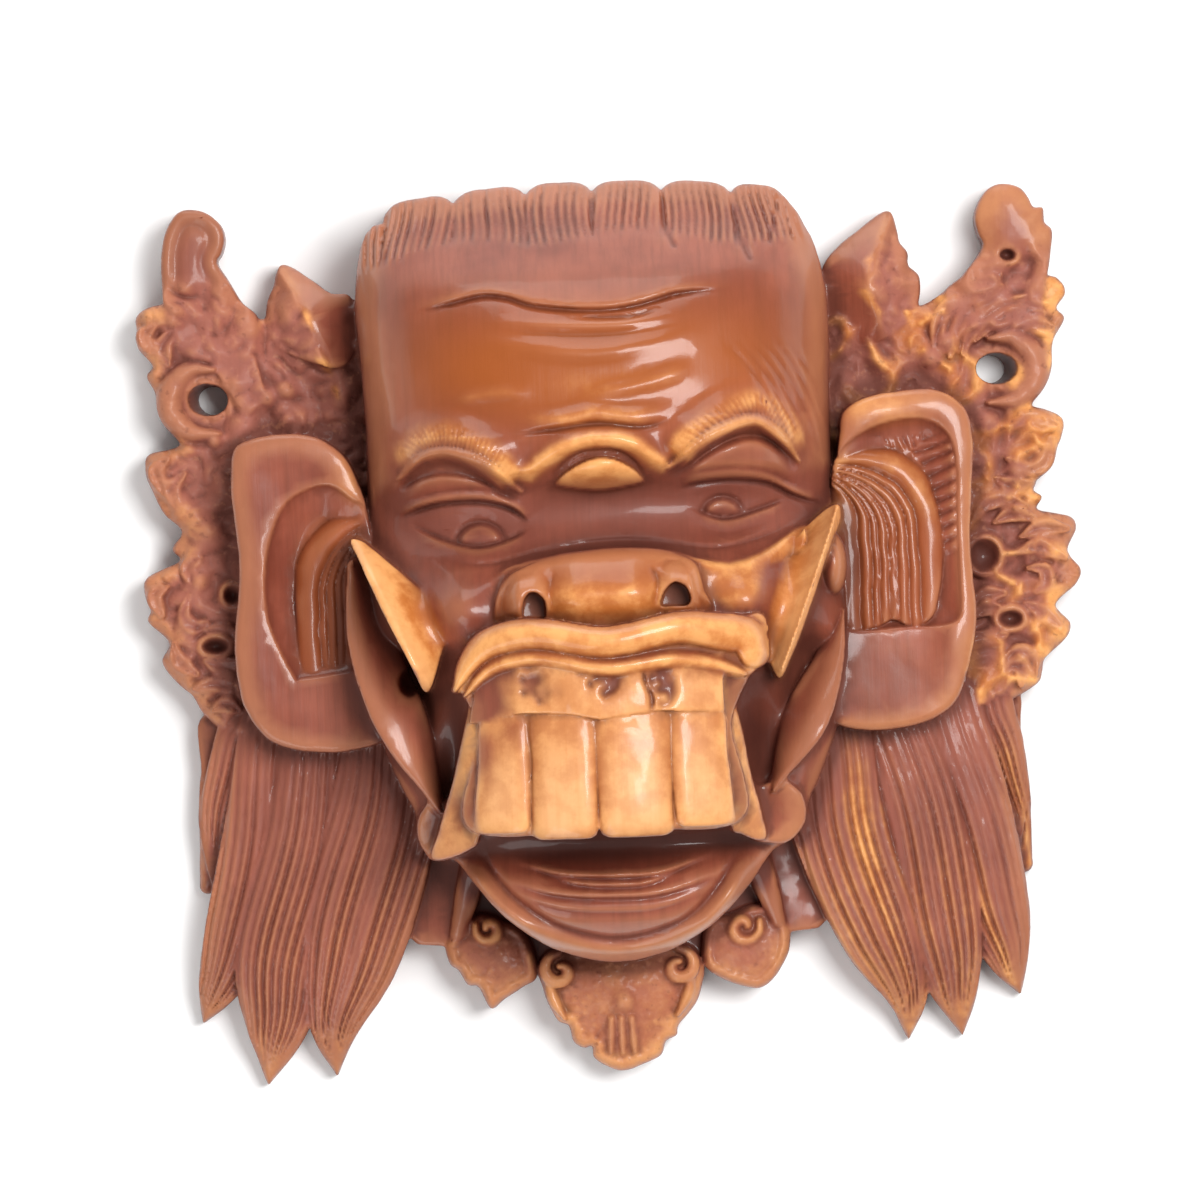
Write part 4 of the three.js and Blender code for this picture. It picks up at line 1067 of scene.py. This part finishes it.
def add_petals(wood, side):
    """What lies on a wing: knobs, hollowed petals, bright chips, ringed pits and the rim of its hole."""
    s = side.s
    for x, y, size in side.knobs:
        wood.ball((s * x, y, WING_TOP - 1), (size, size, 6.5), blend=2.0, gilt=0.05, matte=1.0)
    for spine in side.petals:
        petal = Band(mirror(s, spine), [0.8, 2.4, 2.8, 1.2], 24)
        hollow = 1.3 * bell(petal.u + 0.15, 0.45)
        top = WING_TOP + 3.8 - hollow - 1.2 * petal.u**4 + 0.7 * leaves_fine[petal.place]
        # Gold on the petals' rims, partly a painted highlight.
        gold = side.petal_gold * (0.3 + 0.7 * np.abs(petal.u))
        wood.add(petal, top, rounding=0.8, blend=1.8, gilt=gold, matte=0.8)
    # Bright golden streaks on the wing, painted as highlights.
    for spine in side.chips:
        wood.streak("gilt", mirror(s, spine), [0.6, 1.3, 0.6], 1.0)
    turns = np.linspace(0, 2 * np.pi, 13)
    for x, y, rx, ry in side.pits:
        ring = list(zip(s * x + (rx + 1.2) * np.cos(turns), y + (ry + 1.2) * np.sin(turns)))
        lip = Band(ring, [1.5] * 2)
        wood.add(lip, WING_TOP + 4.0 - 2 * lip.u**2, rounding=0.8, blend=1.8, gilt=0.3, matte=0.8)
        # Painted shade inside each pit.
        wood.ball((s * x, y, WING_TOP + 5), (rx, ry, 6), cut=True, dark=0.85, matte=0.3)
    front, _, level = side.hole
    ring = [(-3, 9.5), (5, 9.5), (10.5, 4), (11, -4), (5, -10), (-4, -11)]
    rim = Band(mirror(s, [(front + x, level + y) for x, y in ring]), [1, 3, 4, 4, 3, 1])
    top = WING_TOP + 6 - 3 * rim.u**2 + 0.4 * soft_fine[rim.place]
    wood.add(rim, top, blend=2.0, gilt=0.12, matte=0.8)


def pierce_wing(wood, side):
    """A round hole that slants through a wing and widens to the front."""
    s = side.s
    front, back, level = side.hole
    wx, wy = window([(s * (front - 14), level - 14), (s * (front + 14), level + 14)], 1)
    deep = np.clip(GRID_Z / 30, 0, 1)[None, None, :]
    across = GRID_X[wx, None, None] - s * (back + (front - back) * deep)
    up = GRID_Y[None, wy, None] - level
    rx, ry = 4.6 + 2.8 * deep, 4.4 + 1.0 * deep
    within = (1 - np.sqrt((across / rx) ** 2 + (up / ry) ** 2)) * ry
    wood.field[wx, wy] = soft_max(wood.field[wx, wy], within.astype(np.float32), 1.0)


def add_wings(wood):
    """Both wings with what grows on them, the smooth slab on the left one, and the holes through them."""
    for side in SIDES:
        add_foliage(wood, side)
        add_horn(wood, side)
        add_leaf(wood, side)
        add_petals(wood, side)
    slab = Plate([(-128, 99), (-117, 98), (-108, 92), (-105, 79), (-112, 73), (-121, 88)])
    top = WING_TOP + 3.6 + 0.06 * (slab.x + 117) + 0.6 * leaves_fine[slab.place]
    wood.add(slab, top, blend=1.5, matte=1.0)
    for side in SIDES:
        pierce_wing(wood, side)


# Locks of hair


def add_locks(wood):
    """Overlapping locks that end in flame-shaped tips, with uneven strokes that run together at the tips."""
    for side in SIDES:
        s = side.s
        bed = [(58, -40), (124, -20), (131, -40), (131, -66), (118, -100), (84, -104), (66, -92)]
        under = Plate(curve(mirror(s, bed), 60, closed=True))
        # The bed shows between the locks; its dark is painted shade.
        wood.add(under, 13.0, dark=0.4)
        for layer, (spine, half) in enumerate(side.locks):
            root = 22 + 4 * layer
            lock = Band(mirror(s, spine), half, 60)
            wave = 0.55 * np.sin(5.5 * lock.t + 1.3 * layer) + 0.2 * np.sin(13 * lock.t + layer)
            phase = lock.u * max(half) / 2.9 + wave
            number = np.round(phase)
            depth = 0.5 + 1.5 * dice.random(64)[(number + 16 * layer).astype(int) % 64]
            line = bell(phase - number, STROKE)
            strength = (0.6 + 0.5 * ease(0.1, 0.4, lock.t)) * (1 - 0.75 * ease(0.75, 0.95, lock.t))
            top = root + (LOCK_TIP - root) * lock.t**1.8 - 4 * (1 - 0.5 * lock.t) * lock.u**2
            # bright and lit are painted highlights on the strands, lit on the right locks only; the strokes'
            # grooves get painted shade.
            bright = (1 - line) * ease(1.2, 1.9, depth) * ease(0.15, 0.5, lock.t)
            lit = (1 - line) * mound(lock.x, lock.y, 79, -62, 11, 28) * ease(0.7, 1.1, depth)
            gold = 0.06 + 0.12 * ease(0.6, 1.0, lock.t) + side.lock_gold * bright + lit
            top = top - depth * strength * line
            wood.add(lock, top, rounding=1.2, blend=0.3, gilt=gold, dark=0.2 * line, matte=0.45)


def cut_back(wood):
    """The hollow behind the face, and the flat back."""
    right = [(40, -66), (57, -20), (59, 40), (56, 95)]
    line = [(0, -82), *right, (0, 118), *reversed(mirror(-1, right))]
    hollow = Plate(curve(line, 120, closed=True), (0, 20))
    roof = 2 + HOLLOW_DEPTH * np.sqrt(np.clip(1 - hollow.r**2.4, 0, 1))
    wood.cut(hollow, roof, floor=-30, blend=2.0)
    wood.field[:] = np.maximum(wood.field, -GRID_Z.astype(np.float32))


# Carving the block

knobs_fine = pebbles(2.8, 5)
soft_large = lumps(2.3)
soft_fine = lumps(1.0)
leaves_large = foliage(3.8)
leaves_fine = foliage(1.5)

face = Surface()
carve_forehead(face)
carve_hair(face)
for side in SIDES:
    carve_eye(face, side)
    carve_brow(face, side)
carve_boss(face)
carve_cheeks(face)
carve_chin(face)

wood = Wood()
head = Plate(head_outline())
face_stains_and_light = {name: tint[head.place] for name, tint in face.stain_and_light.items()}
wood.add(head, face.z[head.place], rounding=2.0, blend=0.0, **face_stains_and_light)
add_wings(wood)
add_ears(wood)
add_locks(wood)
add_chin(wood)
add_nose(wood)
add_teeth(wood)
add_lips(wood)
add_jaws(wood)
# The slight unevenness of hand carving, then the back, which stays flat
wood.field += (0.12 * soft_large + 0.05 * soft_fine).astype(np.float32)[:, :, None]
cut_back(wood)

# Painted shade in the pockets beside and under the teeth, and a painted highlight on the right cheek beside
# the nose
dark_pockets = (
    [(-58, -14), (-47, -16), (-44, -28), (-46, -40), (-52, -54), (-57, -44), (-61, -26)],
    [(51, -14), (42, -18), (41, -30), (44, -42), (47, -52), (52, -42), (59, -24)],
    [(-44, -62), (0, -63), (40, -62), (44, -70), (0, -73.5), (-46, -70)],
)
for pocket in dark_pockets:
    wood.tint("dark", pocket, 0.75, 3.0)
bright_cheek = [(33, 20), (40, 18.5), (52, 23), (46, 6), (39, 5), (33, 9)]
wood.tint("gilt", bright_cheek, 0.75, 2.5)


# Skin of the wood


def skin(field):
    """Vertices and quads of the surface where the field crosses zero, one vertex in each crossed cell."""
    wood_here = field < 0
    cells = np.zeros(tuple(n - 1 for n in field.shape), np.uint8)
    corners = [(dx, dy, dz) for dx in (0, 1) for dy in (0, 1) for dz in (0, 1)]
    for dx, dy, dz in corners:
        nx, ny, nz = cells.shape
        cells += wood_here[dx : nx + dx, dy : ny + dy, dz : nz + dz]
    crossed = (cells > 0) & (cells < 8)
    number = np.full(cells.shape, -1, np.int32)
    place = np.nonzero(crossed)
    count = len(place[0])
    number[place] = np.arange(count)
    total = np.zeros((count, 3))
    hits = np.zeros(count)
    for a in corners:
        for axis in range(3):
            if a[axis] == 0:
                b = tuple(a[n] + (n == axis) for n in range(3))
                va = field[place[0] + a[0], place[1] + a[1], place[2] + a[2]]
                vb = field[place[0] + b[0], place[1] + b[1], place[2] + b[2]]
                split = (va < 0) != (vb < 0)
                k = np.where(split, va / np.where(split, va - vb, 1), 0)
                for n in range(3):
                    total[:, n] += split * (a[n] + (k if n == axis else 0))
                hits += split
    points = (np.stack(place, 1) + total / hits[:, None]) * PITCH + (GRID_X[0], GRID_Y[0], GRID_Z[0])
    quads = []
    for axis in range(3):
        near = np.take(wood_here, range(0, field.shape[axis] - 1), axis)
        far = np.take(wood_here, range(1, field.shape[axis]), axis)
        edges = np.array(np.nonzero(near != far))
        outward = near[tuple(edges)]
        one, two = (axis + 1) % 3, (axis + 2) % 3
        ring = []
        for d1, d2 in ((-1, -1), (0, -1), (0, 0), (-1, 0)):
            cell = edges.copy()
            cell[one] += d1
            cell[two] += d2
            ring.append(number[tuple(cell)])
        ring = np.stack(ring, 1)
        quads.append(np.where(outward[:, None], ring, ring[:, ::-1]))
    return points, np.concatenate(quads)


def front_heights(field):
    """The height of the wood seen from the front, zero where there is none."""
    wood_here = field < 0
    any_wood = wood_here.any(2)
    top = field.shape[2] - 1 - np.argmax(wood_here[:, :, ::-1], 2)
    top = np.minimum(top, field.shape[2] - 2)
    i, j = np.indices(top.shape)
    low, high = field[i, j, top], field[i, j, top + 1]
    height = GRID_Z[0] + PITCH * (top + np.clip(low / np.minimum(low - high, -1e-6), 0, 1))
    return np.where(any_wood, height, 0)


def sample(image, x, y):
    """The value of a grid picture at each point."""
    u = np.clip((x - GRID_X[0]) / PITCH, 0, len(GRID_X) - 1.001)
    v = np.clip((y - GRID_Y[0]) / PITCH, 0, len(GRID_Y) - 1.001)
    i, j = u.astype(int), v.astype(int)
    a, b = u - i, v - j
    low = image[i, j] * (1 - b) + image[i, j + 1] * b
    high = image[i + 1, j] * (1 - b) + image[i + 1, j + 1] * b
    return low * (1 - a) + high * a


def link(name, data):
    """A new object in the scene."""
    thing = bpy.data.objects.new(name, data)
    bpy.context.collection.objects.link(thing)
    return thing


def make_mask():
    """The skin as one smooth mesh, thinned to the number of triangles wanted."""
    points, quads = skin(wood.field)
    mesh = bpy.data.meshes.new("carved_mask_skin")
    mesh.vertices.add(len(points))
    mesh.vertices.foreach_set("co", ((points - (*MIDDLE, 0)) / METRE).ravel())
    mesh.loops.add(quads.size)
    mesh.loops.foreach_set("vertex_index", quads.ravel().astype(np.int32))
    mesh.polygons.add(len(quads))
    mesh.polygons.foreach_set("loop_start", np.arange(0, quads.size, 4, dtype=np.int32))
    mesh.update(calc_edges=True)
    rough = link("rough", mesh)
    fewer = rough.modifiers.new("fewer", "DECIMATE")
    fewer.ratio = min(1.0, TRIANGLES / (2 * len(quads)))
    ready = rough.evaluated_get(bpy.context.evaluated_depsgraph_get())
    carved = bpy.data.meshes.new_from_object(ready)
    carved.name = "carved_mask_visual"
    bpy.data.objects.remove(rough)
    bpy.data.meshes.remove(mesh)
    carved.polygons.foreach_set("use_smooth", np.ones(len(carved.polygons), bool))
    return link("carved_mask_visual", carved)


def paint(piece, name, values):
    """Store one number for each vertex."""
    attribute = piece.data.attributes.new(name, "FLOAT", "POINT")
    attribute.data.foreach_set("value", values.astype(np.float32))


def vertex_values(piece, name):
    """The x, y and z of a value that each vertex has."""
    values = np.zeros(3 * len(piece.data.vertices))
    piece.data.vertices.foreach_get(name, values)
    return values.reshape(-1, 3).T


def paint_mask(piece):
    """Paint the front with its staining and painted light, its high places lighter from wear and painted
    highlight, painted shade in its depths, and the walls in one even tone of painted shade.
    """
    x, y, z = vertex_values(piece, "co") * METRE
    x, y = x + MIDDLE[0], y + MIDDLE[1]
    height = front_heights(wood.field)
    fine, middling, broad = [height - blur(height, size) for size in (1.3, 4, 11)]
    upward = ease(0.03, 0.3, vertex_values(piece, "normal")[2])
    front = ease(-6, -2, z - sample(height, x, y)) * upward
    # Lighter on crests and ridges: partly wear, partly a painted highlight.
    wear_and_highlight = np.maximum(ease(0.1, 1.1, fine + 0.2 * middling), 0.75 * ease(0.4, 3.2, middling))
    # Darker in hollows, creases and grooves, as painted shade.
    deep = ease(0.3, 7.5, -middling * 1.25 - broad * 0.12)
    deep = np.maximum(deep, 0.8 * ease(0.1, 0.8, -fine))
    paint(piece, "wear_and_highlight", sample(wear_and_highlight, x, y) * front)
    # The walls, which do not face the front, get an even painted shade.
    paint(piece, "deep", sample(deep, x, y) * front + 0.4 * (1 - front))
    for name, tint in wood.stain_and_light.items():
        paint(piece, name, sample(blur(tint, 0.7), x, y) * front)


# Materials

DARK_BROWN = (0.205, 0.046, 0.025)
RED_BROWN = (0.3, 0.078, 0.043)
GRAIN_BROWN = (0.13, 0.032, 0.016)
DUSTY_BROWN = (0.38, 0.14, 0.105)
AMBER = (0.32, 0.075, 0.009)
WORN_AND_HIGHLIGHT_BROWN = (0.48, 0.19, 0.09)
DEEP_GOLD = (0.49, 0.15, 0.03)
PALE_GOLD = (0.78, 0.36, 0.12)
IVORY = (0.77, 0.385, 0.165)
STAINED_IVORY = (0.6, 0.24, 0.075)
DARK_STAIN_AND_SHADE = (0.075, 0.02, 0.013)
PAINTED_SHADE = (0.045, 0.011, 0.008)
PALE_DUST = (0.55, 0.24, 0.13)
DARK_DUST = (0.1, 0.025, 0.017)


class Socket:
    """A value in a material, with arithmetic."""

    def __init__(self, finish, socket):
        self.finish = finish
        self.socket = socket

    def maths(self, operation, first, second):
        return self.finish.add("Math", {"operation": operation}, {0: first, 1: second})

    def __add__(self, other):
        return self.maths("ADD", self, other)

    __radd__ = __add__

    def __sub__(self, other):
        return self.maths("SUBTRACT", self, other)

    def __rsub__(self, other):
        return self.maths("SUBTRACT", other, self)

    def __mul__(self, other):
        return self.maths("MULTIPLY", self, other)

    __rmul__ = __mul__

    def step(self, low, high):
        """0 below low, 1 above high, smooth between them."""
        settings = {"interpolation_type": "SMOOTHSTEP"}
        return self.finish.add("MapRange", settings, {"Value": self, "From Min": low, "From Max": high})


class Finish:
    """One material, and the one way to add a node to it."""

    def __init__(self, name):
        self.material = bpy.data.materials.new(name)
        self.material.use_nodes = True
        self.nodes = self.material.node_tree.nodes
        self.links = self.material.node_tree.links
        self.nodes.clear()

    def add(self, kind, settings=None, values=None, out=0):
        """A node of a kind: its settings first, then its sockets. Gives back one of its outputs."""
        node = self.nodes.new("ShaderNode" + kind)
        for key, value in (settings or {}).items():
            setattr(node, key, value)
        for key, value in (values or {}).items():
            if isinstance(value, Socket):
                self.links.new(value.socket, node.inputs[key])
            else:
                node.inputs[key].default_value = value
        return None if out is None else Socket(self, node.outputs[out])

    def blend(self, factor, first, second):
        """Two colours mixed."""
        first, second = [c if isinstance(c, Socket) else (*c, 1) for c in (first, second)]
        return self.add("Mix", {"data_type": "RGBA"}, {0: factor, 6: first, 7: second}, out=2)

    def painted(self, name):
        """A value stored on the mesh."""
        return self.add("Attribute", {"attribute_name": name}, out=2)

    def shade(self, values):
        surface = self.add("BsdfPrincipled", {}, values)
        self.add("OutputMaterial", {}, {"Surface": surface}, out=None)


def stained_wood():
    """Red-brown stained wood under lacquer, golden and lighter where the high carving is smoothed by wear and
    painted with highlights, with painted shade in its depths.
    """
    finish = Finish("stained_carved_wood")
    wear_and_highlight, deep, gilt, tooth, amber, dark, matte = map(finish.painted, ("wear_and_highlight", "deep", *STAINS_AND_PAINTED_LIGHT))
    where = finish.add("TexCoord", out=3)
    along = finish.add("Mapping", {}, {"Vector": where, "Scale": (420, 26, 60)})
    grain = finish.add("TexNoise", {}, {"Vector": along, "Scale": 1, "Detail": 4, "Roughness": 0.6})
    cloud = finish.add("TexNoise", {}, {"Vector": where, "Scale": 34, "Detail": 3})
    speck = finish.add("TexNoise", {}, {"Vector": where, "Scale": 120, "Detail": 5, "Roughness": 0.6})
    brown = finish.blend(cloud.step(0.35, 0.65), DARK_BROWN, RED_BROWN)
    brown = finish.blend(grain.step(0.35, 0.75) * 0.4, brown, GRAIN_BROWN)
    brown = finish.blend(matte * 0.55, brown, DUSTY_BROWN)
    colour = finish.blend(amber * 0.85, brown, AMBER)
    # The crests lighter and their gold paler: partly wear, partly a painted highlight.
    colour = finish.blend(wear_and_highlight * 0.5, colour, WORN_AND_HIGHLIGHT_BROWN)
    mottle = speck.step(0.32, 0.68)
    pale = (wear_and_highlight * 0.5 + mottle * 0.5).step(0.05, 1.0)
    gold = finish.blend(pale, DEEP_GOLD, PALE_GOLD)
    # Gold where the maps ask for it: gilding, crests smoothed by wear, and painted highlights.
    rubbed_and_highlight = (gilt * (0.55 + speck * 0.7) + wear_and_highlight * gilt * 0.3).step(0.05, 0.95)
    colour = finish.blend(rubbed_and_highlight, colour, gold)
    ivory = finish.blend(grain.step(0.4, 0.75) * 0.3, IVORY, STAINED_IVORY)
    colour = finish.blend(tooth * (0.65 + mottle * 0.35), colour, ivory)
    # Dark staining, and painted shade in holes, creases and gaps.
    colour = finish.blend(dark * 0.7, colour, DARK_STAIN_AND_SHADE)
    # Painted shade in the depths and on the walls.
    colour = finish.blend(deep * 0.6, colour, PAINTED_SHADE)
    crumb = finish.add("TexNoise", {}, {"Vector": where, "Scale": 330, "Detail": 3})
    dusty = matte.step(0.5, 0.8)
    colour = finish.blend(dusty * crumb.step(0.55, 0.75) * 0.25, colour, PALE_DUST)
    colour = finish.blend(dusty * (1 - crumb).step(0.6, 0.75) * 0.4, colour, DARK_DUST)
    height = grain * 0.6 + speck * 0.4 + dusty * crumb * 1.5
    bump = finish.add("Bump", {}, {"Strength": 0.3, "Distance": 0.0006, "Height": height})
    finish.shade(
        {
            "Base Color": colour,
            "Roughness": 0.38 + 0.2 * deep + 0.1 * cloud + 0.15 * matte,
            "Specular IOR Level": 0.25,
            "Coat Weight": 0.34 - 0.3 * matte,
            "Coat Roughness": 0.13,
            "Normal": bump,
        }
    )
    return finish.material


def pale_floor():
    """Matt white with a faint cloud in it."""
    finish = Finish("pale_floor")
    cloud = finish.add("TexNoise", {}, {"Scale": 3, "Detail": 2})
    colour = finish.blend(cloud, (0.93, 0.93, 0.925), (0.95, 0.95, 0.945))
    finish.shade({"Base Color": colour, "Roughness": 0.9})
    return finish.material


mask = make_mask()
paint_mask(mask)
mask.data.materials.append(stained_wood())
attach(mask, "root")
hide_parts("carved_mask")


# Floor, light and camera

FLOOR_HALF = 4.0
FLOOR_GAP = 0.0003
CAMERA_HEIGHT = 4.5
SENSOR = 36
PICTURE_WIDTH = 0.384
PICTURE_MIDDLE = (-1.5, 10.3)
PICTURE_TURN = -2.3
ROOM_LIGHT = 0.38
LAMPS = (
    ("key", (-0.1, 1.35, 0.3), 0.9, 9),
    ("fill", (-0.6, -0.9, 0.9), 0.8, 7),
    ("front", (0.62, 0.32, 1.7), 0.75, 33),
)


def make_floor():
    """A wide flat floor just under the mask."""
    mesh = bpy.data.meshes.new("floor")
    level = solid_box[0].z - FLOOR_GAP
    corners = [(x * FLOOR_HALF, y * FLOOR_HALF, level) for x, y in ((-1, -1), (1, -1), (1, 1), (-1, 1))]
    mesh.from_pydata(corners, [], [(0, 1, 2, 3)])
    mesh.materials.append(pale_floor())
    link("floor", mesh)


def make_lamp(name, place, size, power):
    """A soft square light that faces the mask."""
    light = bpy.data.lights.new(name, "AREA")
    light.size = size
    light.energy = power
    lamp = link(name, light)
    lamp.location = place
    lamp.rotation_euler = (-lamp.location).to_track_quat("-Z", "Y").to_euler()


def light_room():
    """Even white light from all round."""
    room = bpy.data.worlds.new("studio")
    room.use_nodes = True
    sockets = room.node_tree.nodes["Background"].inputs
    sockets["Color"].default_value = (1, 1, 1, 1)
    sockets["Strength"].default_value = ROOM_LIGHT
    bpy.context.scene.world = room
    bpy.context.scene.view_settings.view_transform = "Standard"


def make_camera():
    """Straight above the mask and far off, turned a little, as in the photograph."""
    lens = bpy.data.cameras.new("camera")
    lens.sensor_width = SENSOR
    lens.lens = SENSOR * CAMERA_HEIGHT / PICTURE_WIDTH
    lens.clip_end = 50
    camera = link("camera", lens)
    x, y = [(place - middle) / METRE for place, middle in zip(PICTURE_MIDDLE, MIDDLE)]
    camera.location = (x, y, CAMERA_HEIGHT)
    camera.rotation_euler = (0, 0, math.radians(PICTURE_TURN))
    bpy.context.scene.camera = camera


make_floor()
for row in LAMPS:
    make_lamp(*row)
light_room()
make_camera()
